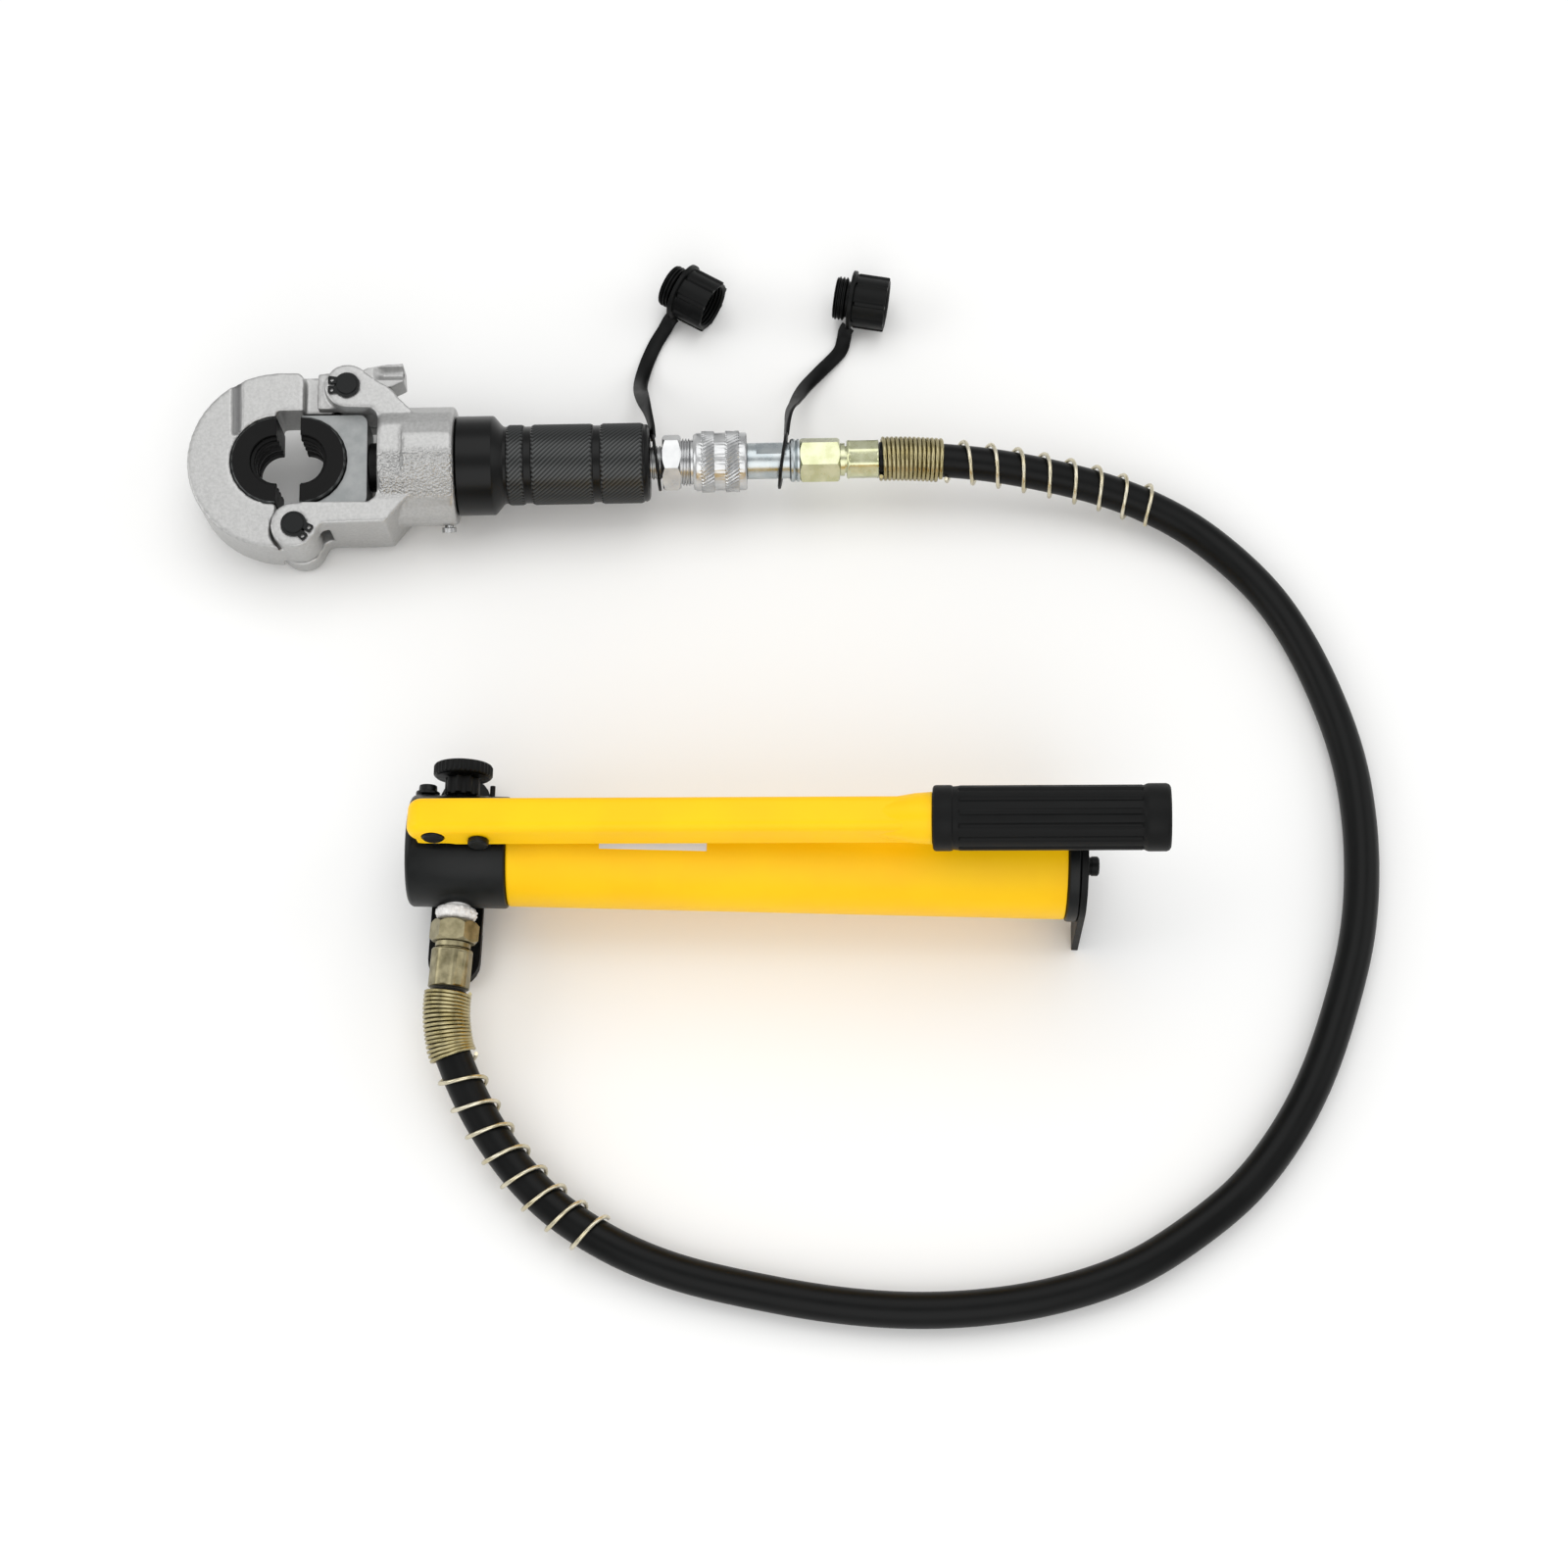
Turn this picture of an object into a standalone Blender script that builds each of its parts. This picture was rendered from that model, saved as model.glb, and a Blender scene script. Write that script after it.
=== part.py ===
"""Split hydraulic press tool: a C-jaw press head, a quick coupler, a hose and a hand pump.

Lengths are in millimetres and become metres when a mesh is made. Z is up and the tool
lies on z = 0. The press head is modelled flat about its own frame: x along the
cylinder towards the hose, y across the jaw, z out of the jaw face, with the origin
midway between the dies. The pump's frame has x along the reservoir and z up.
"""
import math

import bmesh
import bpy
from mathutils import Matrix, Quaternion, Vector

MM = 0.001
GAP = 0.3
ROUND_LARGE = 24
ROUND_DIE = 28
ROUND = 16
ROUND_SMALL = 12
ALONG_X = (0.0, math.radians(90), 0.0)

# ---- where the two halves lie -------------------------------------------------
HEAD_AT = (-183.5, 65.1, 29.0)
HEAD_YAW = math.radians(1.15)
HEAD_ROLL = math.radians(10.7)
PUMP_AT = (-111.9, -135.3, 0.0)
PUMP_YAW = math.radians(-1.43)

# ---- press head -----------------------------------------------------------------
YOKE_HALF = 20.0
SLOT_HALF = 8.5
WINDOW_END = 50.0
WINDOW_HALF = 23.1
HINGE = (11.4, -34.0)
HINGE_END_R = 11.0
LATCH = (35.4, 34.2)
LATCH_END_R = 10.7
BOSS_R = 28.2
BOSS_END = 85.8
BOSS_BORE_R = 22.3
BOSS_BORE_START = 64.0
ROD_BORE_R = 12.0
JAW_CENTRE = (3.0, 0.0)
JAW_R = 43.3
JAW_HALF = 14.2
JAW_TIP = 14.3
JAW_CLEAR_R = 12.3
JAW_PLANE = 1.5
RAM_TRAVEL = 11.0
RAM_PLANE = 12.9
RAM_END = 44.3
RAM_WIDTH_HALF = 22.6
RAM_HALF = 11.5
SEAT_R = 21.8
DIE_R = 21.5
DIE_BORE_R = 10.5
DIE_GROOVE_R = 12.6
DIE_HALF = 14.0
PIN_R = 5.0
PIN_BORE_R = 5.3
PIN_HALF = 22.1
CLIP_LOW = YOKE_HALF + GAP
CLIP_THICK = 1.0
GRIP_R = 19.0
BARREL_R = 23.5
BARREL_END = 177.4
BARREL_BORE_R = 16.0

# ---- coupler, along the head's x axis --------------------------------------------
STUB_R = 8.0
HEX_START = 183.4
HEX_END = 192.0
COUPLER_HEX_FLATS = 24.0
SLEEVE_START = 197.0
SLEEVE_END = 223.4
SLEEVE_R = 14.0
PLUG_R = 8.6
PLUG_END = 244.0
PLUG_RING_R = 10.4
NUT_START = 248.6
NUT_END = 267.5
NUT_FLATS = 19.0
FERRULE_END = 286.3
FERRULE_R = 9.2

# ---- hose ------------------------------------------------------------------------
HOSE_R = 8.0
HOSE_SAMPLES = 66
HOSE_EASING = 24
GUARD_R = 10.6
WIRE_R = 0.95
COIL_R = 9.75
GUARD_LENGTH = 30.0
COIL_LENGTH = 104.0
COIL_TURNS = 8
COIL_POINTS = 10
HOSE_ROUTE = [
    (102.9, 70.9, 29.0), (115.5, 71.1, 28.8), (133.1, 70.6, 28.0), (153.3, 69.6, 26.6),
    (174.4, 67.0, 23.8), (198.0, 63.5, 19.8), (214.6, 59.9, 16.6), (226.8, 56.0, 14.4),
    (251.6, 43.9, 10.6), (269.6, 28.2, 8.8), (286.6, 9.3, 8.3), (301.1, -17.7, 8.3),
    (312.6, -49.9, 8.3), (319.6, -79.5, 8.3), (321.8, -111.0, 8.3), (320.6, -138.2, 8.3),
    (316.3, -166.9, 8.3), (308.1, -193.7, 8.3), (297.7, -222.8, 8.3), (285.1, -248.3, 8.3),
    (269.9, -270.3, 8.3), (253.9, -288.0, 8.3), (215.4, -315.6, 8.3), (192.6, -325.1, 8.3),
    (168.3, -332.0, 8.3), (141.7, -335.8, 8.3), (116.0, -337.1, 8.3), (91.2, -335.8, 8.3),
    (65.5, -332.4, 8.3), (40.6, -327.3, 8.4), (15.3, -321.8, 8.8), (-10.2, -312.6, 10.2),
    (-27.3, -303.3, 11.0), (-43.8, -292.0, 11.5), (-54.7, -281.2, 12.3), (-64.4, -269.6, 13.4),
    (-73.3, -256.7, 15.0), (-81.1, -242.7, 17.4), (-87.9, -228.2, 21.0), (-90.9, -213.7, 25.1),
    (-91.3, -205.5, 26.8), (-90.75, -198.1, 28.05),
]

# ---- dust caps -------------------------------------------------------------------
CAP_FLANGE_R = 14.4
CAP_CUP_R = 13.4
CAP_PLUG_R = 10.6
STRAP_WIDTH = 7.0
STRAP_THICK = 1.2
STRAP_RING_R = 13.6
FLAT_ACROSS = (1.0, -0.35, 0.0)
UPRIGHT = (0.0, -0.19, 0.98)
# Each strap's centre line from its cap to its ring, with the way its width points.
STRAP_1 = [
    ((0.9, 164.1, 3.8), FLAT_ACROSS), ((-1.7, 159.9, 1.7), FLAT_ACROSS),
    ((-6.0, 151.8, 1.3), FLAT_ACROSS), ((-9.8, 141.3, 1.8), FLAT_ACROSS),
    ((-12.1, 130.3, 4.8), (1.0, -0.2, 0.4)), ((-12.4, 119.3, 13.0), (0.6, -0.2, 0.9)),
    ((-10.9, 108.3, 23.5), UPRIGHT), ((-8.1, 97.3, 31.0), UPRIGHT),
    ((-5.7, 86.9, 32.6), UPRIGHT), ((-4.8, 80.2, 31.8), UPRIGHT),
]
STRAP_2 = [
    ((87.8, 157.8, 3.8), FLAT_ACROSS), ((87.0, 154.1, 1.7), FLAT_ACROSS),
    ((84.7, 146.9, 1.4), (1.0, -0.6, 0.0)), ((75.8, 135.1, 3.6), (1.0, -0.8, 0.5)),
    ((67.7, 121.9, 9.5), (0.7, -0.5, 0.9)), ((62.7, 107.3, 19.5), UPRIGHT),
    ((60.4, 97.3, 28.5), UPRIGHT), ((59.3, 88.7, 32.6), UPRIGHT), ((58.6, 81.5, 31.8), UPRIGHT),
]
CAP_1_AT = (6.8, 174.2, 14.6)
CAP_1_HEADING = math.radians(-30.9)
CAP_2_AT = (90.0, 169.2, 14.6)
CAP_2_HEADING = math.radians(-9.9)
RING_1_X = 180.4
RING_1_LEAN = math.radians(7)
RING_2_X = 240.6
RING_2_LEAN = math.radians(-9)

# ---- pump ------------------------------------------------------------------------
AXIS_HEIGHT = 38.5
BLOCK_START = 2.9
BLOCK_END = 47.0
BLOCK_R = 25.0
TUBE_R = 24.0
TUBE_BORE_R = 22.0
TUBE_END = 294.5
CAP_END = 300.0
PORT_X = 26.0
PORT_DROP = math.radians(9.5)
PORT_SWING = math.radians(3.0)
KNOB_X = 24.4
RELIEF_X = 9.0
PEG_X = 38.0
FOOT_SCREW_X = (16.5, 26.5)
FULCRUM = (16.7, 73.5)
LEVER_RISE = math.radians(3.9)
PLUNGER_X = 36.4
PLUNGER_PIN_DROP = 2.2
LEVER_END_X = -4.5
CHANNEL_HALF = 8.2
CHANNEL_WALL = 2.0
GRIP_START = 217.5
GRIP_LENGTH = 102.0
GRIP_PUMP_R = 14.3


# ---- helpers ---------------------------------------------------------------------
def arc(centre, radius, start, end, steps):
    """Points on a circle from start to end, both in degrees."""
    turn = [math.radians(start + (end - start) * i / steps) for i in range(steps + 1)]
    return [(centre[0] + radius * math.cos(a), centre[1] + radius * math.sin(a)) for a in turn]


def circle(centre, radius, sides):
    return arc(centre, radius, 0, 360, sides)[:-1]


def look(name, colour, roughness, metallic):
    material = bpy.data.materials.new(name)
    material.use_nodes = True
    shader = material.node_tree.nodes["Principled BSDF"]
    shader.inputs["Base Color"].default_value = (*colour, 1.0)
    shader.inputs["Roughness"].default_value = roughness
    shader.inputs["Metallic"].default_value = metallic
    return material


def empty(name, at, turn, parent=None):
    frame = bpy.data.objects.new(name, None)
    frame.location = Vector(at) * MM
    frame.rotation_euler = turn
    frame.parent = parent
    parts.objects.link(frame)
    return frame


def aim(direction):
    """The turn that points a solid's z axis along a direction."""
    return direction.to_track_quat("Z", "Y").to_euler()


def port_direction():
    """The hose port's axis in the pump's frame: out of the near side, drooping."""
    return Vector((-math.sin(PORT_SWING) * math.cos(PORT_DROP),
                   -math.cos(PORT_SWING) * math.cos(PORT_DROP), -math.sin(PORT_DROP)))


def valve_direction():
    """The release valve's axis in the pump's frame: out of the far side, rising."""
    return Vector((0, math.cos(PORT_DROP), math.sin(PORT_DROP)))


def place(obj, parent, at=(0, 0, 0), turn=(0, 0, 0)):
    obj.parent = parent
    obj.location = Vector(at) * MM
    obj.rotation_euler = turn
    return obj


def add_mesh(name, bm, material):
    bmesh.ops.recalc_face_normals(bm, faces=bm.faces)
    mesh = bpy.data.meshes.new(name)
    bm.to_mesh(mesh)
    bm.free()
    mesh.shade_smooth()
    mesh.set_sharp_from_angle(angle=math.radians(35))
    obj = bpy.data.objects.new(name, mesh)
    parts.objects.link(obj)
    if material:
        mesh.materials.append(material)
    return obj


def curve_to_mesh(curve_obj, name, material):
    """Turn a finished curve into a welded mesh object and drop the curve."""
    parts.objects.link(curve_obj)
    bpy.context.view_layer.update()
    evaluated = curve_obj.evaluated_get(bpy.context.evaluated_depsgraph_get())
    mesh = bpy.data.meshes.new_from_object(evaluated)
    bpy.data.objects.remove(curve_obj)
    bm = bmesh.new()
    bm.from_mesh(mesh)
    bmesh.ops.remove_doubles(bm, verts=bm.verts, dist=1e-7)
    return add_mesh(name, bm, material)


def plate(name, outline, low, high, material=None, holes=()):
    """A flat outline with its holes, as a solid from z = low to z = high."""
    curve = bpy.data.curves.new(name, "CURVE")
    curve.dimensions = "2D"
    curve.fill_mode = "BOTH"
    curve.extrude = (high - low) / 2 * MM
    for loop in [outline, *holes]:
        spline = curve.splines.new("POLY")
        spline.points.add(len(loop) - 1)
        for point, (x, y) in zip(spline.points, loop):
            point.co = (x * MM, y * MM, 0, 1)
        spline.use_cyclic_u = True
    solid = curve_to_mesh(bpy.data.objects.new(name, curve), name, material)
    solid.data.transform(Matrix.Translation((0, 0, (low + high) / 2 * MM)))
    return solid


def turned(name, profile, sides, material=None):
    """A solid turned about z. The profile's (height, radius) points climb its outer side.

    A profile that starts off the axis is a closed ring section.
    """
    mesh = bpy.data.meshes.new(name)
    points = [(radius * MM, 0, height * MM) for height, radius in reversed(profile)]
    edges = [(i, i + 1) for i in range(len(points) - 1)]
    if profile[0][1] > 0:
        edges.append((len(points) - 1, 0))
    mesh.from_pydata(points, edges, [])
    obj = bpy.data.objects.new(name, mesh)
    parts.objects.link(obj)
    if material:
        mesh.materials.append(material)
    screw = obj.modifiers.new("turn", "SCREW")
    screw.steps = screw.render_steps = sides
    screw.use_merge_vertices = True
    screw.merge_threshold = 1e-6
    return obj


def box(name, low, high, material=None):
    bm = bmesh.new()
    bmesh.ops.create_cube(bm, size=1.0)
    low, high = Vector(low), Vector(high)
    for vert in bm.verts:
        vert.co = Vector((low[i] + (vert.co[i] + 0.5) * (high[i] - low[i])) for i in range(3)) * MM
    return add_mesh(name, bm, material)


def rod(name, radius, low, high, sides=ROUND, material=None):
    return turned(name, [(low, 0), (low, radius), (high, radius), (high, 0)], sides, material)


def hexagon(name, flats, low, high, bore, material, chamfer=1.0):
    """A hexagonal nut with turned chamfers and a through bore."""
    corner = flats / math.sqrt(3)
    nut = plate(name, circle((0, 0), corner, 6), low, high, material, [circle((0, 0), bore, 24)])
    trim = turned(name + "_trim", [(low - 1, flats / 2 - 0.9), (low + chamfer, corner + 0.3),
                                   (high - chamfer, corner + 0.3), (high + 1, flats / 2 - 0.9),
                                   (high + 1, bore - 2), (low - 1, bore - 2)], ROUND)
    return boolean(nut, trim, "INTERSECT")


def boolean(target, tool, operation):
    """Apply a tool solid to a target and file the tool with the cutters."""
    parts.objects.unlink(tool)
    cutters.objects.link(tool)
    tool.hide_render = True
    tool.display_type = "WIRE"
    step = target.modifiers.new(tool.name, "BOOLEAN")
    step.object = tool
    step.operation = operation
    step.solver = "EXACT"
    if tool.parent is None:
        tool.parent = target
    return target


def cut(target, *tools):
    for tool in tools:
        boolean(target, tool, "DIFFERENCE")
    return target


def join(target, *tools):
    for tool in tools:
        boolean(target, tool, "UNION")
    return target


def smooth_route(points, samples):
    """Evenly spaced points on a Catmull-Rom curve through the given points."""
    knots = [Vector(p) for p in points]
    knots = [2 * knots[0] - knots[1], *knots, 2 * knots[-1] - knots[-2]]
    fine = []
    for a, b, c, d in zip(knots, knots[1:], knots[2:], knots[3:]):
        for i in range(20):
            t = i / 20
            fine.append(0.5 * (2 * b + (c - a) * t + (2 * a - 5 * b + 4 * c - d) * t * t
                               + (3 * b - a - 3 * c + d) * t ** 3))
    fine.append(knots[-2])
    lengths = [0.0]
    for a, b in zip(fine, fine[1:]):
        lengths.append(lengths[-1] + (b - a).length)
    route, j = [], 0
    for i in range(samples):
        goal = lengths[-1] * i / (samples - 1)
        while j < len(fine) - 2 and lengths[j + 1] < goal:
            j += 1
        share = (goal - lengths[j]) / (lengths[j + 1] - lengths[j])
        route.append(fine[j].lerp(fine[j + 1], share))
    return route, lengths[-1]


def point_on(route, length, distance):
    """The point and direction at a distance along an evenly spaced route."""
    place_on = distance / length * (len(route) - 1)
    i = min(int(place_on), len(route) - 2)
    return route[i].lerp(route[i + 1], place_on - i), (route[i + 1] - route[i]).normalized()


def tube(name, points, radius, detail, material=None):
    curve = bpy.data.curves.new(name, "CURVE")
    curve.dimensions = "3D"
    curve.bevel_depth = radius * MM
    curve.bevel_resolution = detail
    curve.use_fill_caps = True
    spline = curve.splines.new("POLY")
    spline.points.add(len(points) - 1)
    for point, at in zip(spline.points, points):
        point.co = (*(Vector(at) * MM), 1)
    return curve_to_mesh(bpy.data.objects.new(name, curve), name, material)


def ribbon(name, centres, widths, width, thick, material):
    """A flat strap: rectangles across a route, each with its own width direction."""
    bm = bmesh.new()
    rings = []
    for i, (centre, across) in enumerate(zip(centres, widths)):
        ahead = centres[min(i + 1, len(centres) - 1)] - centres[max(i - 1, 0)]
        across = (across - across.project(ahead)).normalized() * width / 2
        out = across.cross(ahead).normalized() * thick / 2
        corners = (across + out, out - across, -across - out, across - out)
        rings.append([bm.verts.new((centre + c) * MM) for c in corners])
    for near, far in zip(rings, rings[1:]):
        for i in range(4):
            bm.faces.new((near[i], near[(i + 1) % 4], far[(i + 1) % 4], far[i]))
    bm.faces.new(rings[0])
    bm.faces.new(reversed(rings[-1]))
    return add_mesh(name, bm, material)


# ---- press head ------------------------------------------------------------------
def yoke_outline():
    """The frame seen square to the jaw face, from the boss down and round both arms."""
    upper = [(WINDOW_END, 17.5), (49.0, 20.8), (46.6, WINDOW_HALF), (36.0, WINDOW_HALF + 0.4)]
    upper += arc(LATCH, LATCH_END_R, -95, -305, 14)
    upper += [(47.5, 38.0), (56.0, 32.6), (60.5, 27.0), (66.0, 21.5)]
    lower = [(66.0, -20.5), (63.0, -22.5), (53.8, -33.4), (29.0, -33.6)]
    lower += arc((26.4, -38.6), 5.0, 80, 135, 4)
    lower += arc(HINGE, HINGE_END_R, -40, -260, 16)
    lower += [(14.5, -WINDOW_HALF), (46.0, -WINDOW_HALF), (49.0, -20.8), (WINDOW_END, -17.5)]
    return lower + upper


def make_yoke(head):
    yoke = plate("yoke", yoke_outline(), -YOKE_HALF, YOKE_HALF, cast)
    boss = turned("boss", [(WINDOW_END + 0.2, 0), (WINDOW_END + 0.2, BOSS_R - 1.6),
                           (WINDOW_END + 2.0, BOSS_R), (BOSS_END - 1.2, BOSS_R),
                           (BOSS_END, BOSS_R - 1.2), (BOSS_END, 0)], ROUND_LARGE)
    cheek = plate("arm_cheek", [(20.8, 24.8), (31.0, 24.8), (31.0, 43.2), (20.8, 42.4)],
                  -JAW_HALF, JAW_HALF)
    join(yoke, place(boss, yoke, turn=ALONG_X), cheek)
    for side in (-1, 1):
        face = sorted((side * 25.2, side * 30))
        cut(yoke, box(f"boss_pad_{side}", (45, -30, face[0]), (62, 30, face[1])))
    finger_slot = plate("arm_slot", [(15, 20), (WINDOW_END, 20), (WINDOW_END, 29.2), (58.6, 29.2),
                                     (58.6, 50), (15, 50)], -SLOT_HALF, SLOT_HALF)
    hinge_slot = plate("hinge_slot", [(-5, -50), (26.6, -50), (26.6, -20), (-5, -20)],
                       -SLOT_HALF, SLOT_HALF)
    bore = turned("boss_bore", [(WINDOW_END - 3, 0), (WINDOW_END - 3, ROD_BORE_R),
                                (BOSS_BORE_START, ROD_BORE_R), (BOSS_BORE_START, BOSS_BORE_R),
                                (BOSS_END + 3, BOSS_BORE_R), (BOSS_END + 3, 0)], ROUND_LARGE)
    cut(yoke, finger_slot, hinge_slot, place(bore, yoke, turn=ALONG_X))
    for name, centre in (("hinge_bore", HINGE), ("latch_bore", LATCH)):
        cut(yoke, place(rod(name, PIN_BORE_R, -30, 30), yoke, at=(*centre, 0)))
    screw_turn = aim(Vector((0, -0.94, -0.34)))
    cut(yoke, place(rod("set_screw_hole", 2.4, 10, 40), yoke, at=(81.0, 0, 0), turn=screw_turn))
    place(yoke, head)
    screw = turned("barrel_set_screw", [(22.7, 0), (22.7, 2.1), (29.0, 2.1), (29.0, 3.4),
                                        (31.4, 3.4), (31.4, 1.6), (30.0, 1.6), (30.0, 0)], 12, zinc)
    place(screw, head, at=(81.0, 0, 0), turn=screw_turn)


def jaw_outline():
    """The full-thickness C of the jaw, from its tip round the back to the hinge."""
    outline = [(JAW_TIP, 24.2)]
    outline += arc((JAW_TIP - 4, JAW_R - 4), 4.0, 0, 90, 4)
    outline += arc(JAW_CENTRE, JAW_R, 90, 268, 40)
    outline += arc(HINGE, JAW_CLEAR_R, 230, 143.5, 10)
    outline.append((JAW_PLANE - 0.01, 24.2))
    return outline


def make_jaw(head):
    jaw = plate("jaw", jaw_outline(), -JAW_HALF, JAW_HALF, cast)
    tongue = plate("jaw_tongue", [(12.0, 24.6), (28.0, 24.6), (27.0, 27.8), (21.0, 29.2),
                                  (21.0, 43.0), (12.0, 43.0)], -7.5, 7.5)
    lug = plate("jaw_lug", [(-8, -27), (0.6, -27.4), (4.8, -25.6)]
                + arc(HINGE, 10.2, 110, -110, 14) + [(2.0, -42.4), (-8, -40)], -8.0, 8.0)
    seat = rod("jaw_seat", SEAT_R, -20, 20, ROUND_DIE)
    bore = rod("jaw_pin_bore", PIN_BORE_R, -20, 20)
    join(jaw, tongue, lug)
    cut(jaw, place(seat, jaw, at=(JAW_PLANE, 0, 0)), place(bore, jaw, at=(*HINGE, 0)))
    place(jaw, head)


def make_die(name, head, plane, side):
    ridge = DIE_BORE_R
    profile = [(-DIE_HALF, DIE_R - 1), (-DIE_HALF + 1, DIE_R), (DIE_HALF - 1, DIE_R),
               (DIE_HALF, DIE_R - 1), (DIE_HALF, ridge + 0.8), (DIE_HALF - 0.8, ridge),
               (10.5, ridge), (9.5, DIE_GROOVE_R), (3.0, DIE_GROOVE_R), (2.0, ridge),
               (-2.0, ridge), (-3.0, DIE_GROOVE_R), (-9.5, DIE_GROOVE_R), (-10.5, ridge),
               (-DIE_HALF + 0.8, ridge), (-DIE_HALF, ridge + 0.8)]
    die = turned(name, profile, ROUND_DIE, tool_steel)
    half = sorted((0, -side * 30))
    cut(die, box(name + "_split", (half[0], -30, -20), (half[1], 30, 20)))
    place(die, head, at=(plane, 0, 0))


def make_ram(head):
    edge, corner = RAM_WIDTH_HALF, 4.0
    outline = [(RAM_PLANE, -edge)] + arc((RAM_END - corner, corner - edge), corner, -90, 0, 4)
    outline += arc((RAM_END - corner, edge - corner), corner, 0, 90, 4) + [(RAM_PLANE, edge)]
    ram = plate("ram_block", outline, -RAM_HALF, RAM_HALF, machined)
    cut(ram, place(rod("ram_seat", SEAT_R, -20, 20, ROUND_DIE), ram, at=(RAM_PLANE, 0, 0)),
        place(rod("rod_socket", 5.3, 37, 50), ram, turn=ALONG_X))
    place(ram, head)
    piston = turned("piston", [(37.4, 0), (37.4, 5.0), (RAM_END + GAP, 5.0), (RAM_END + GAP, 11.6),
                               (96.0, 11.6), (96.0, 15.4), (99.0, 15.4), (99.0, 13.2),
                               (103.0, 13.2), (103.0, 15.4), (107.0, 15.4), (107.0, 0)],
                    ROUND, dark_steel)
    place(piston, head, turn=ALONG_X)
    seal = turned("piston_seal", [(99.4, 13.5), (99.4, 15.6), (102.6, 15.6), (102.6, 13.5)],
                  ROUND, rubber)
    place(seal, head, turn=ALONG_X)
    coil_r, wire, turns = 13.8, 0.9, 5
    # A rigid spring, so it has the length it is squeezed to at the end of the ram's travel.
    low, high = BOSS_BORE_START + wire + GAP, 96.0 - RAM_TRAVEL - wire - GAP
    steps = turns * 10
    path = [(coil_r * math.cos(math.tau * i / 10), coil_r * math.sin(math.tau * i / 10),
             low + (high - low) * i / steps) for i in range(steps + 1)]
    place(tube("ram_return_spring", path, wire, 0, spring_steel), head, turn=ALONG_X)


def make_barrel(head):
    bands = []
    for low, high in ((110.0, 117.9), (121.6, 150.5), (154.3, 174.3)):
        bands += [(low, GRIP_R - 0.5), (low, GRIP_R), (high, GRIP_R), (high, GRIP_R - 0.5)]
    profile = [(66.4, 20.8), (67.4, 21.9), (BOSS_END, 21.9), (BOSS_END + GAP, BARREL_R - 0.6),
               (BOSS_END + 1.0, BARREL_R), (103.7, BARREL_R), (107.4, GRIP_R - 0.4), *bands,
               (176.0, GRIP_R - 0.6), (BARREL_END, GRIP_R - 2.6), (BARREL_END, 6.2), (164.0, 6.2),
               (164.0, 2.5), (150.0, 2.5), (150.0, BARREL_BORE_R), (66.4, BARREL_BORE_R)]
    place(turned("cylinder_barrel", profile, ROUND_LARGE, black_oxide), head, turn=ALONG_X)


def make_pins(head):
    groove = PIN_R - 0.5
    for name, centre, lugs in (("hinge", HINGE, -35), ("latch", LATCH, 180)):
        profile = [(-PIN_HALF, 0), (-PIN_HALF, PIN_R - 0.4), (-PIN_HALF + 0.4, PIN_R),
                   (-CLIP_LOW - CLIP_THICK - 0.15, PIN_R), (-CLIP_LOW - CLIP_THICK - 0.15, groove),
                   (-CLIP_LOW + 0.15, groove), (-CLIP_LOW + 0.15, PIN_R), (CLIP_LOW - 0.15, PIN_R),
                   (CLIP_LOW - 0.15, groove), (CLIP_LOW + CLIP_THICK + 0.15, groove),
                   (CLIP_LOW + CLIP_THICK + 0.15, PIN_R), (PIN_HALF - 0.4, PIN_R),
                   (PIN_HALF, PIN_R - 0.4), (PIN_HALF, 0)]
        place(turned(name + "_pin", profile, 24, black_oxide), head, at=(*centre, 0))
        outline = arc((0, 0), 6.1, 34, 326, 16) + [(7.9, -3.9), (8.0, -0.9), (5.0, -0.7)]
        outline += arc((0, 0), groove + 0.25, -14, -346, 20) + [(5.0, 0.7), (8.0, 0.9), (7.9, 3.9)]
        eyes = [circle((6.9, 2.4), 0.6, 8), circle((6.9, -2.4), 0.6, 8)]
        for side, level in (("top", CLIP_LOW), ("bottom", -CLIP_LOW - CLIP_THICK)):
            clip = plate(f"{name}_circlip_{side}", outline, level, level + CLIP_THICK,
                         black_oxide, eyes)
            place(clip, head, at=(*centre, 0), turn=(0, 0, math.radians(lugs)))


def make_latch(head):
    centre = Vector((*LATCH, 0))
    outline = [(21.6, 30.0), (24.0, 30.0), (24.3, 36.2), (27.2, 37.6)]
    outline += arc(LATCH, 7.9, 180, 350, 12)
    outline += [(47.6, 38.2), (54.4, 37.4), (60.8, 40.6), (60.3, 49.4), (52.0, 49.0),
                (43.0, 47.4), (37.0, 44.2), (28.0, 43.6), (21.6, 41.4)]
    latch = plate("latch", outline, -7.8, 7.8, cast)
    bore = place(rod("latch_eye", PIN_BORE_R, -20, 20), latch, at=centre)
    relief = turned("spring_pocket", [(5.3, 0), (5.3, 7.2), (9, 7.2), (9, 0)], ROUND_SMALL)
    cut(latch, bore, place(relief, latch, at=centre))
    place(latch, head)
    path = [(6.2 * math.cos(math.tau * i / 12), 6.2 * math.sin(math.tau * i / 12),
             6.0 + 1.6 * i / 24) for i in range(25)]
    place(tube("latch_spring", path, 0.4, 0, spring_steel), head, at=centre)


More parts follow.
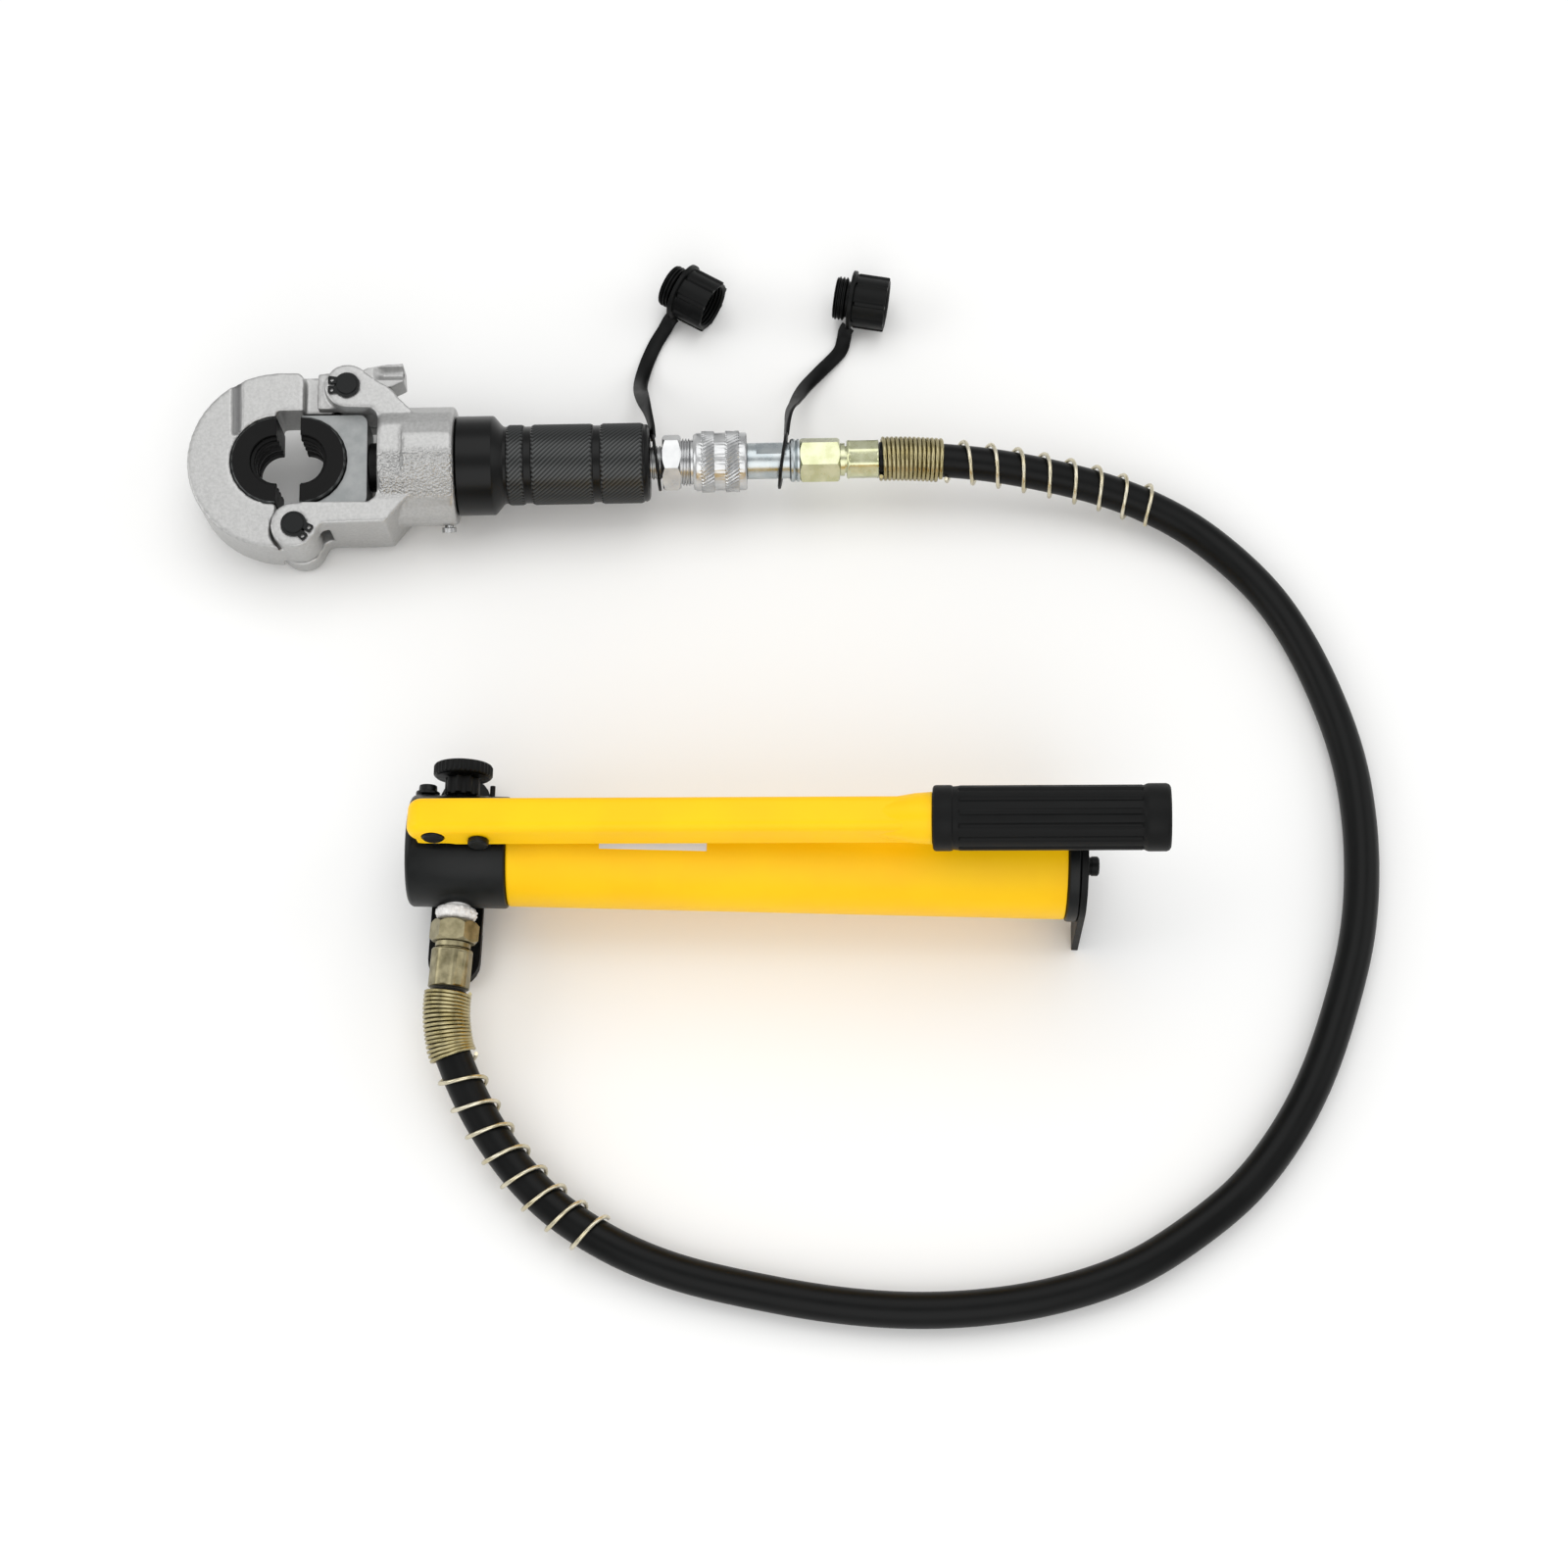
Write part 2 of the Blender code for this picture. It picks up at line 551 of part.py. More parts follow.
# ---- coupler ---------------------------------------------------------------------
def make_coupler(head):
    stub = turned("coupler_stub", [(165.0, 2.5), (165.0, 5.9), (BARREL_END, 5.9),
                                   (BARREL_END + GAP, STUB_R), (HEX_START - GAP, STUB_R),
                                   (HEX_START - GAP, 2.5)], ROUND_SMALL, zinc)
    place(stub, head, turn=ALONG_X)
    nut = hexagon("coupler_body", COUPLER_HEX_FLATS, HEX_START, HEX_END, 4.0, nickel)
    neck = turned("coupler_neck", [(HEX_END - 2, 4.0), (HEX_END - 2, 11.3), (SLEEVE_START, 11.3),
                                   (SLEEVE_START + GAP, 10.6), (220.0, 10.6), (220.0, 9.1),
                                   (204.0, 9.1), (204.0, 4.0)], ROUND)
    place(join(nut, neck), head, turn=ALONG_X)
    knurls = []
    for low, high in ((202.0, 207.8), (213.4, 219.6)):
        knurls += [(low, SLEEVE_R - 0.3), (low, SLEEVE_R + 0.4), (high, SLEEVE_R + 0.4),
                   (high, SLEEVE_R - 0.3)]
    sleeve = turned("coupler_sleeve", [(SLEEVE_START + 1, 11.8), (SLEEVE_START + 1, 13.2),
                                       (SLEEVE_START + 2, SLEEVE_R - 0.3), *knurls,
                                       (222.6, SLEEVE_R - 0.3), (SLEEVE_END, 13.0),
                                       (SLEEVE_END, 11.0), (204.0, 11.0), (204.0, 11.8)],
                    ROUND, nickel)
    place(sleeve, head, turn=ALONG_X)
    plug = turned("coupler_plug", [(205.0, 3.0), (205.0, 8.2), (SLEEVE_END - 4, 8.2),
                                   (SLEEVE_END - 2, PLUG_R), (PLUG_END, PLUG_R),
                                   (PLUG_END, PLUG_RING_R), (NUT_START - GAP, PLUG_RING_R),
                                   (NUT_START - GAP, 6.2), (NUT_START + 8, 6.2),
                                   (NUT_START + 8, 3.0)], ROUND, steel_blue)
    flat = box("plug_flat", (228.0, -12, 7.4), (240.0, 12, 12))
    plug_frame = empty("plug_frame", (0, 0, 0), (math.radians(-32), 0, 0), head)
    place(flat, plug_frame)
    cut(plug, flat)
    place(plug, head, turn=ALONG_X)


def hose_end(suffix, frame, nut_low, nut_high, ferrule_high, bore_depth):
    """Swivel nut and crimped ferrule on a hose end, along the frame's z axis."""
    nut = hexagon("hose_nut_" + suffix, NUT_FLATS, nut_low, nut_high, 6.6, yellow_zinc)
    place(nut, frame)
    ferrule = turned("hose_ferrule_" + suffix,
                     [(nut_high - bore_depth, 3.0), (nut_high - bore_depth, 6.2),
                      (nut_high + GAP, 6.2), (nut_high + GAP, 7.6), (nut_high + 3.0, 7.6),
                      (nut_high + 3.4, FERRULE_R), (ferrule_high - GAP, FERRULE_R),
                      (ferrule_high - GAP, 3.0)], ROUND_SMALL, yellow_zinc)
    place(ferrule, frame)


def make_hose(head, pump):
    hose_end("head", empty("hose_end_head", (0, 0, 0), ALONG_X, head),
             NUT_START, NUT_END, FERRULE_END, 8.0)
    port = empty("port_frame", (PORT_X, 0, AXIS_HEIGHT), aim(port_direction()), pump)
    hose_end("pump", port, 32.0, 41.6, 62.5, 5.0)
    tape = turned("thread_tape", [(12.6, 2.5), (12.6, 6.1), (25.6, 6.1), (25.6, 8.3), (29.0, 8.0),
                                  (31.6, 7.2), (31.6, 2.5)], ROUND_SMALL, white_tape)
    place(tape, port)
    fine, _ = smooth_route(HOSE_ROUTE, 260)
    for _ in range(HOSE_EASING):
        fine[8:-8] = [(a + 2 * b + c) / 4 for a, b, c in zip(fine[7:], fine[8:-8], fine[9:])]
    route, length = smooth_route(fine, HOSE_SAMPLES)
    tube("hose", route, HOSE_R, 2, rubber)
    for suffix, start, way in (("head", 0.0, 1), ("pump", length, -1)):
        guard_at = [start + way * GUARD_LENGTH * i / 6 for i in range(7)]
        guard_path = [point_on(route, length, d)[0] for d in guard_at]
        first, last = guard_path[0], guard_path[-1]
        longer = [first + (first - guard_path[1]), *guard_path, last + (last - guard_path[-2])]
        guard = tube("hose_guard_" + suffix, guard_path, GUARD_R, 3, spring_brass)
        cut(guard, tube("guard_bore_" + suffix, longer, HOSE_R + 0.8, 3))
        steps = COIL_TURNS * COIL_POINTS
        coil = []
        for i in range(steps + 1):
            along = GUARD_LENGTH + 3.6 + (COIL_LENGTH - 3.6) * i / steps
            centre, ahead = point_on(route, length, start + way * along)
            side = ahead.cross(Vector((0, 0, 1))).normalized()
            turn = Quaternion(ahead, math.tau * i / COIL_POINTS)
            coil.append(centre + turn @ side * COIL_R)
        tube("hose_spring_" + suffix, coil, WIRE_R, 0, spring_steel)


# ---- dust caps -------------------------------------------------------------------
def make_dust_cap(number, head, ring_x, ring_lean, cap_at, heading, strap):
    """A moulded cap with its plug, lying on its flange, and its strap round the coupler."""
    turn = aim(Vector((math.cos(heading), math.sin(heading), 0)))
    cap = turned(f"dust_cap_{number}",
                 [(-7.4, 0), (-7.4, CAP_PLUG_R - 1), (-6.4, CAP_PLUG_R), (-2.0, CAP_PLUG_R - 0.4),
                  (-1.6, CAP_PLUG_R - 2), (-0.2, CAP_PLUG_R - 2), (0, CAP_FLANGE_R),
                  (2.2, CAP_FLANGE_R), (2.4, CAP_CUP_R - 0.3), (18.2, CAP_CUP_R - 0.6),
                  (18.4, CAP_CUP_R - 2.4), (4.6, CAP_CUP_R - 2.4), (4.6, 0)], ROUND, black_plastic)
    place(cap, None, at=cap_at, turn=turn)
    points = [Vector(p) for p, _ in strap]
    route, _ = smooth_route(points, 18)
    widths = []
    for i in range(18):
        share = i / 17 * (len(strap) - 1)
        j = min(int(share), len(strap) - 2)
        widths.append(Vector(strap[j][1]).lerp(Vector(strap[j + 1][1]), share - j))
    ring = turned(f"strap_ring_{number}", [(-0.7, 9.4), (-0.7, STRAP_RING_R), (0.7, STRAP_RING_R),
                                           (0.7, 9.4)], ROUND)
    band = ribbon(f"dust_strap_{number}", route, widths, STRAP_WIDTH, STRAP_THICK, black_plastic)
    lean = empty(f"ring_frame_{number}", (ring_x, 0, 0), (0, 0, ring_lean), head)
    join(band, place(ring, lean, turn=ALONG_X))


# ---- pump ------------------------------------------------------------------------
def make_block(pump):
    block = turned("pump_block", [(BLOCK_START, 0), (BLOCK_START, BLOCK_R - 2.0),
                                  (BLOCK_START + 0.6, BLOCK_R - 0.6),
                                  (BLOCK_START + 2.0, BLOCK_R), (BLOCK_END - 1, BLOCK_R),
                                  (BLOCK_END, BLOCK_R - 1), (BLOCK_END, 21.6), (52.0, 21.6),
                                  (52.0, 19.4), (55.0, 19.4), (55.0, 21.6), (60.0, 21.6),
                                  (60.0, 0)], ROUND_LARGE, black_oxide)
    place(block, pump, at=(0, 0, AXIS_HEIGHT), turn=ALONG_X)
    top_flat = place(box("block_top_flat", (6, -12, 62.0), (46.0, 12, 70)), pump)
    plunger_bore = place(rod("plunger_bore", 6.3, 28, 70), pump, at=(PLUNGER_X, 0, 0))
    post_hole = place(rod("post_hole", 4.3, 52, 70), pump, at=(FULCRUM[0], 0, 0))
    port = place(rod("port_hole", 6.8, 12, 40), pump, at=(PORT_X, 0, AXIS_HEIGHT),
                 turn=aim(port_direction()))
    holes = [top_flat, plunger_bore, post_hole, port]
    for name, x, radius, start in (("valve_hole", KNOB_X, 4.3, 8), ("peg_hole", PEG_X, 1.6, 16),
                                   ("relief_hole", RELIEF_X, 3.3, 12)):
        holes.append(place(rod(name, radius, start, 40), pump, at=(x, 0, AXIS_HEIGHT),
                           turn=aim(valve_direction())))
    holes.append(place(rod("suction_hole", 2.8, 54, 70), pump, at=(0, 0, AXIS_HEIGHT - 12),
                       turn=ALONG_X))
    for x in FOOT_SCREW_X:
        holes.append(place(rod(f"foot_thread_{x:.0f}", 2.9, 5, 24), pump, at=(x, 0, 0)))
    cut(block, *holes)


def make_valves(pump):
    turn = aim(valve_direction())
    stem = turned("release_valve_stem", [(9.0, 0), (12.0, 3.9), (33.4, 3.9), (33.4, 0)],
                  ROUND_SMALL, dark_steel)
    place(stem, pump, at=(KNOB_X, 0, AXIS_HEIGHT), turn=turn)
    knob = turned("release_knob", [(33.8, 0), (33.8, 4.2), (25.6, 4.2), (25.6, 7.6), (33.6, 7.6),
                                   (33.8, 12.4), (34.4, 13.0), (39.4, 13.0), (40.0, 12.4), (40.0, 0)],
                  ROUND, black_plastic)
    place(knob, pump, at=(KNOB_X, 0, AXIS_HEIGHT), turn=turn)
    relief = turned("relief_valve_cap", [(14.0, 0), (14.0, 3.0), (25.6, 3.0), (25.6, 5.4),
                                         (27.0, 5.4), (27.2, 4.2), (30.0, 4.0), (30.0, 0)],
                    ROUND_SMALL, black_oxide)
    place(relief, pump, at=(RELIEF_X, 0, AXIS_HEIGHT), turn=turn)
    peg = rod("knob_stop_peg", 1.2, 17, 30.5, 12, dark_steel)
    place(peg, pump, at=(PEG_X, 0, AXIS_HEIGHT), turn=turn)


def make_reservoir(pump):
    at, turn = (0, 0, AXIS_HEIGHT), ALONG_X
    tube_body = turned("reservoir_tube", [(BLOCK_END + GAP, TUBE_BORE_R),
                                          (BLOCK_END + GAP, TUBE_R - 0.5),
                                          (BLOCK_END + 0.8, TUBE_R), (TUBE_END, TUBE_R),
                                          (TUBE_END, TUBE_BORE_R)], ROUND_LARGE, yellow)
    place(tube_body, pump, at, turn)
    end_cap = turned("end_cap", [(282.0, 0), (282.0, 21.6), (286.0, 21.6), (286.0, 19.4),
                                 (289.0, 19.4), (289.0, 21.6), (TUBE_END + GAP, 21.6),
                                 (TUBE_END + GAP, BLOCK_R - 0.8), (TUBE_END + 1.1, BLOCK_R),
                                 (CAP_END, BLOCK_R), (CAP_END, 3.4), (290.0, 3.4), (290.0, 0)],
                     ROUND_LARGE, black_oxide)
    place(end_cap, pump, at, turn)
    for name, start in (("block_o_ring", 52.3), ("cap_o_ring", 286.3)):
        ring = turned(name, [(start, 19.7), (start, 21.0), (start + 0.8, 21.75), (start + 1.6, 21.75),
                             (start + 2.4, 21.0), (start + 2.4, 19.7)], ROUND_LARGE, rubber)
        place(ring, pump, at, turn)
    place(rod("suction_tube", 2.5, 54.5, 84.0, 16, zinc), pump, (0, 0, AXIS_HEIGHT - 12), turn)
    strainer = turned("suction_strainer", [(84.3, 0), (84.3, 5.0), (96.0, 5.0), (96.0, 0)],
                      ROUND_SMALL, spring_brass)
    place(strainer, pump, (0, 0, AXIS_HEIGHT - 12), turn)
    vent = turned("vent_plug", [(290.6, 0), (290.6, 3.0), (303.6, 3.0), (303.6, 4.4), (309.0, 4.4),
                                (309.8, 3.6), (309.8, 0)], ROUND_SMALL, black_plastic)
    place(vent, pump, at, turn)


def make_feet(pump):
    rear = plate("rear_foot", [(-25.5, 0), (-14, 0), (-11, 3.5), (11, 3.5), (14, 0), (25.5, 0)]
                 + arc((0, AXIS_HEIGHT), 25.0, 0, 180, 24), 0, 3.0, black_paint,
                 [circle((0, AXIS_HEIGHT), 3.4, 16)])
    place(rear, pump, at=(CAP_END + GAP, 0, 0), turn=(math.radians(90), 0, math.radians(90)))
    bar = plate("front_foot", arc((21.5, 39.0), 11.7, 0, 180, 12)
                + arc((21.5, -39.0), 11.7, 180, 360, 12), 0, 6.0, black_paint)
    saddle = box("foot_saddle", (9.8, -11.7, 5.0), (33.2, 11.7, 20))
    hollow = place(rod("saddle_hollow", BLOCK_R + GAP, 0, 60, ROUND_LARGE), bar,
                   at=(0, 0, AXIS_HEIGHT), turn=ALONG_X)
    join(bar, saddle)
    cut(bar, hollow, box("foot_relief", (0, -25, -1), (50, 25, 1.5)))
    for i, x in enumerate(FOOT_SCREW_X):
        hole = turned(f"screw_hole_{i}", [(-1, 0), (-1, 4.8), (4.6, 4.8), (4.6, 2.9), (24, 2.9),
                                          (24, 0)], ROUND_SMALL)
        cut(bar, place(hole, bar, at=(x, 0, 0)))
        screw = turned(f"foot_screw_{i + 1}", [(1.6, 0), (1.6, 4.4), (4.3, 4.4), (4.3, 2.5),
                                               (22.5, 2.5), (22.5, 0)], 16, zinc)
        place(screw, pump, at=(x, 0, 0))
    place(bar, pump)


def make_post_and_plunger(pump):
    x, pin_z = FULCRUM
    upright = (math.radians(90), 0, 0)
    post = turned("pivot_post", [(53.0, 0), (53.0, 4.0), (62.3, 4.0), (62.3, 7.0), (63.3, 7.0),
                                 (63.6, 6.6), (63.6, 4.6), (pin_z, 4.6), (pin_z, 0)],
                  ROUND, black_oxide)
    eye = plate("post_eye", circle((0, 0), 6.0, 24), -5.4, 5.4)
    join(post, place(eye, post, at=(0, 0, pin_z), turn=upright))
    bore = rod("post_bore", 3.5, -12, 12)
    cut(post, place(bore, post, at=(0, 0, pin_z), turn=upright))
    place(post, pump, at=(x, 0, 0))
    gland = hexagon("gland_nut", 16.0, 62.3, 65.6, 6.4, dark_steel, 0.6)
    place(gland, pump, at=(PLUNGER_X, 0, 0))
    reach = PLUNGER_X - x
    pin_height = pin_z + reach * math.sin(LEVER_RISE) - PLUNGER_PIN_DROP * math.cos(LEVER_RISE)
    plunger = rod("plunger", 6.0, 31, pin_height - 5.5, ROUND, machined)
    neck = box("plunger_neck", (-5.0, -5.4, pin_height - 6.5), (5.0, 5.4, pin_height - 3.0))
    head = plate("plunger_head", arc((0.4, 0), 5.2, -90, 90, 12) + arc((-4.8, 0), 5.2, 90, 270, 12),
                 -5.4, 5.4)
    slot = plate("plunger_slot", arc((0.4, 0), 3.8, -90, 90, 12) + arc((-4.8, 0), 3.8, 90, 270, 12),
                 -10, 10)
    for shape in (head, slot):
        place(shape, plunger, at=(0, 0, pin_height + 0.2), turn=upright)
    place(cut(join(plunger, neck, head), slot), pump, at=(PLUNGER_X, 0, 0))


def make_lever(pump):
    lever_frame = empty("lever_frame", (FULCRUM[0], 0, FULCRUM[1]), (0, -LEVER_RISE, 0), pump)
    outline = [(6.0, -6.5), (10.0, -7.6), (GRIP_START - 1, -7.6), (GRIP_START - 1, 8.5)]
    outline += arc((LEVER_END_X, 1.5), 7.0, 90, 180, 8) + arc((LEVER_END_X, 0.5), 7.0, 185, 270, 8)
    channel = plate("lever", outline, -CHANNEL_HALF, CHANNEL_HALF, yellow)
    inner = CHANNEL_HALF - CHANNEL_WALL
    inside = plate("lever_inside", [(LEVER_END_X - 5, -12), (230.0, -12), (230.0, 6.5),
                                    (LEVER_END_X, 6.5), (LEVER_END_X - 5, 1.5)], -inner, inner)
    upright = (math.radians(90), 0, 0)
    pins = []
    for name, x, z, near in (("fulcrum", 0.0, 0.0, 5.2),
                             ("plunger", PLUNGER_X - FULCRUM[0], -PLUNGER_PIN_DROP, 3.4)):
        hole = turned(name + "_pin_hole", [(-20, 0), (-20, 3.6), (0, 3.6), (0, near), (20, near),
                                           (20, 0)], ROUND_SMALL)
        pins.append(place(hole, channel, at=(x, z, 0)))
    place(cut(channel, inside, *pins), lever_frame, turn=upright)
    core = rod("lever_core", 9.0, GRIP_START - 12, GRIP_START + GRIP_LENGTH - 3, 32)
    taper = turned("lever_taper", [(GRIP_START - 26, 0), (GRIP_START - 26, 8.6), (GRIP_START - 9, 11.0),
                                   (GRIP_START - GAP, 11.6), (GRIP_START - GAP, 0)], ROUND)
    for piece in (core, taper):
        place(piece, channel, turn=(0, math.radians(90), 0))
    join(channel, core, taper)
    grip = turned("lever_grip", [(GRIP_START + GRIP_LENGTH - 2.6, 0),
                                 (GRIP_START + GRIP_LENGTH - 2.6, 9.3), (GRIP_START, 9.3),
                                 (GRIP_START, GRIP_PUMP_R - 0.8),
                                 (GRIP_START + 1, GRIP_PUMP_R), (GRIP_START + 8, GRIP_PUMP_R),
                                 (GRIP_START + 9, GRIP_PUMP_R - 0.5),
                                 (GRIP_START + GRIP_LENGTH - 11, GRIP_PUMP_R - 0.3),
                                 (GRIP_START + GRIP_LENGTH - 10, GRIP_PUMP_R + 0.4),
                                 (GRIP_START + GRIP_LENGTH - 1.5, GRIP_PUMP_R + 0.4),
                                 (GRIP_START + GRIP_LENGTH, GRIP_PUMP_R - 1.4),
                                 (GRIP_START + GRIP_LENGTH, 0)], ROUND, rubber)
    place(grip, lever_frame, turn=ALONG_X)
    fulcrum = turned("fulcrum_pin", [(-CHANNEL_HALF - 0.6, 0), (-CHANNEL_HALF - 0.6, 3.2), (6.6, 3.2),
                                     (6.6, 4.9), (CHANNEL_HALF + 0.4, 4.9), (CHANNEL_HALF + 1.0, 4.2),
                                     (CHANNEL_HALF + 1.0, 0)], ROUND_SMALL, black_oxide)
    place(fulcrum, lever_frame, turn=upright)
    plunger_pin = turned("plunger_pin", [(-CHANNEL_HALF - 0.6, 0), (-CHANNEL_HALF - 0.6, 3.0),
                                         (CHANNEL_HALF + GAP, 3.0), (CHANNEL_HALF + GAP, 4.7),
                                         (CHANNEL_HALF + 2.6, 4.7), (CHANNEL_HALF + 3.2, 4.1),
                                         (CHANNEL_HALF + 3.2, 0)], ROUND_SMALL, black_oxide)
    place(plunger_pin, lever_frame, at=(PLUNGER_X - FULCRUM[0], 0, -PLUNGER_PIN_DROP), turn=upright)


# ---- the whole tool --------------------------------------------------------------
for old in list(bpy.data.objects):
    bpy.data.objects.remove(old)
parts = bpy.data.collections.new("hydraulic_press_tool")
cutters = bpy.data.collections.new("cutters")
for group in (parts, cutters):
    bpy.context.scene.collection.children.link(group)

cast = look("cast_steel_silver", (0.55, 0.55, 0.55), 0.4, 0.9)
machined = look("machined_steel", (0.5, 0.5, 0.52), 0.35, 1.0)
tool_steel = look("blackened_tool_steel", (0.02, 0.02, 0.022), 0.4, 0.6)
dark_steel = look("dark_steel", (0.12, 0.12, 0.13), 0.35, 0.9)
black_oxide = look("black_oxide_steel", (0.015, 0.016, 0.017), 0.35, 0.6)
black_paint = look("black_paint", (0.012, 0.012, 0.013), 0.5, 0.0)
nickel = look("bright_nickel", (0.75, 0.75, 0.76), 0.2, 1.0)
steel_blue = look("blue_zinc_plate", (0.5, 0.53, 0.56), 0.25, 1.0)
zinc = look("white_zinc_plate", (0.6, 0.6, 0.6), 0.3, 1.0)
yellow_zinc = look("yellow_zinc_plate", (0.58, 0.55, 0.34), 0.3, 1.0)
spring_brass = look("olive_spring_steel", (0.36, 0.31, 0.15), 0.35, 1.0)
spring_steel = look("spring_steel", (0.55, 0.5, 0.4), 0.3, 1.0)
rubber = look("black_rubber", (0.012, 0.012, 0.012), 0.55, 0.0)
black_plastic = look("black_nylon", (0.01, 0.01, 0.01), 0.45, 0.0)
yellow = look("yellow_enamel", (0.95, 0.6, 0.0), 0.3, 0.0)
white_tape = look("white_thread_tape", (0.85, 0.85, 0.83), 0.6, 0.0)

head_frame = empty("head_frame", HEAD_AT, (HEAD_ROLL, 0, HEAD_YAW))
pump_frame = empty("pump_frame", PUMP_AT, (0, 0, PUMP_YAW))
make_yoke(head_frame)
make_jaw(head_frame)
make_die("jaw_die", head_frame, JAW_PLANE, -1)
make_die("ram_die", head_frame, RAM_PLANE, 1)
make_ram(head_frame)
make_barrel(head_frame)
make_pins(head_frame)
make_latch(head_frame)
make_coupler(head_frame)
make_hose(head_frame, pump_frame)
make_dust_cap(1, head_frame, RING_1_X, RING_1_LEAN, CAP_1_AT, CAP_1_HEADING, STRAP_1)
make_dust_cap(2, head_frame, RING_2_X, RING_2_LEAN, CAP_2_AT, CAP_2_HEADING, STRAP_2)
make_block(pump_frame)
make_valves(pump_frame)
make_reservoir(pump_frame)
make_feet(pump_frame)
make_post_and_plunger(pump_frame)
make_lever(pump_frame)
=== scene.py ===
"""Split hydraulic press tool: press head, quick coupler, guarded hose and hand pump.

A piece is shaped in millimetres in its own part's frame and then set in place: the
head's (x along the cylinder to the hose, y across the jaw, z out of the jaw's face),
the pump's (x along the reservoir, z up), the lever's, the hose port's, the valve's,
a dust cap's or the floor's own. Castings and pieces with only their edges broken
start from the CAD solid, which is in metres and already in place.
"""
import math

import bmesh
import bpy
from mathutils import Matrix, Quaternion, Vector, noise


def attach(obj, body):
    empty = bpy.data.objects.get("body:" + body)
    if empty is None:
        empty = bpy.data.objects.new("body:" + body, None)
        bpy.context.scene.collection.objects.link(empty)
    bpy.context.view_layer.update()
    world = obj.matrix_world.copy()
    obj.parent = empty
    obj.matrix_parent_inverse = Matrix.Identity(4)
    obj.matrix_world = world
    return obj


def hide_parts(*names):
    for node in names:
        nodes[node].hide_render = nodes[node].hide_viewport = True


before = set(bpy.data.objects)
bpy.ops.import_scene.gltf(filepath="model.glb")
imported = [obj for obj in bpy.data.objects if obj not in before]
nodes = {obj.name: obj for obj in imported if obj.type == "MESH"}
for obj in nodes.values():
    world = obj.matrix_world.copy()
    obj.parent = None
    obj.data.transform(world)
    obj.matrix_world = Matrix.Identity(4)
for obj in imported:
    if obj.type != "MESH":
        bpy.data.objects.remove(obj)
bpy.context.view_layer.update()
MM = 0.001


# ---- the frames the tool's parts are set in ---------------------------------------
def frame_at(place, *turns):
    """A frame in millimetres at a place, turned about its own axes in order."""
    matrix = Matrix.Translation(Vector(place) * MM)
    for degrees, axis in turns:
        matrix = matrix @ Matrix.Rotation(math.radians(degrees), 4, axis)
    return matrix @ Matrix.Scale(MM, 4)


FLOOR = frame_at((0, 0, 0))
HEAD = frame_at((-183.5, 65.1, 29.0), (1.15, "Z"), (10.7, "X"))
PUMP = frame_at((-111.9, -135.3, 0.0), (-1.43, "Z"))
LEVER = PUMP @ Matrix.Translation((16.7, 0, 73.5)) @ Matrix.Rotation(math.radians(-3.9), 4, "Y")
PORT = PUMP @ Matrix.Translation((26.0, 0, 38.5)) @ Matrix.Rotation(math.radians(-93), 4, "Z") \
    @ Matrix.Rotation(math.radians(9.5), 4, "Y")
VALVE = PUMP @ Matrix.Translation((0, 0, 38.5)) @ Matrix.Rotation(math.radians(90), 4, "Z") \
    @ Matrix.Rotation(math.radians(-9.5), 4, "Y")
CLIP_LOW = 20.3
CLIP_THICK = 1.2
HINGE = Vector((11.4, -34.0, 0))
LATCH = Vector((35.4, 34.2, 0))


# ---- finishes ----------------------------------------------------------------------
def colour(code):
    """An sRGB hex colour as linear RGBA."""
    channels = [int(code[i:i + 2], 16) / 255 for i in (1, 3, 5)]
    return (*[c / 12.92 if c <= 0.04045 else ((c + 0.055) / 1.055) ** 2.4 for c in channels], 1.0)


def add(tree, kind, links, **settings):
    """One node with its settings. links gives each socket a value or another node's output."""
    node = tree.nodes.new(kind)
    for name, value in settings.items():
        setattr(node, name, value)
    for socket, value in links.items():
        if isinstance(value, bpy.types.NodeSocket):
            tree.links.new(value, node.inputs[socket])
        else:
            node.inputs[socket].default_value = value
    return node


def finish(name, base, metallic, roughness, **sockets):
    """A material with its plain values set on the shader itself."""
    material = bpy.data.materials.new(name)
    material.use_nodes = True
    tree = material.node_tree
    shader = tree.nodes["Principled BSDF"]
    shader.inputs["Base Color"].default_value = colour(base)
    shader.inputs["Metallic"].default_value = metallic
    shader.inputs["Roughness"].default_value = roughness
    for socket, value in sockets.items():
        shader.inputs[socket.replace("_", " ")].default_value = value
    return material, tree, shader


def per_mm(size):
    """The noise scale whose features are about this many millimetres across."""
    return 1 / (size * MM)


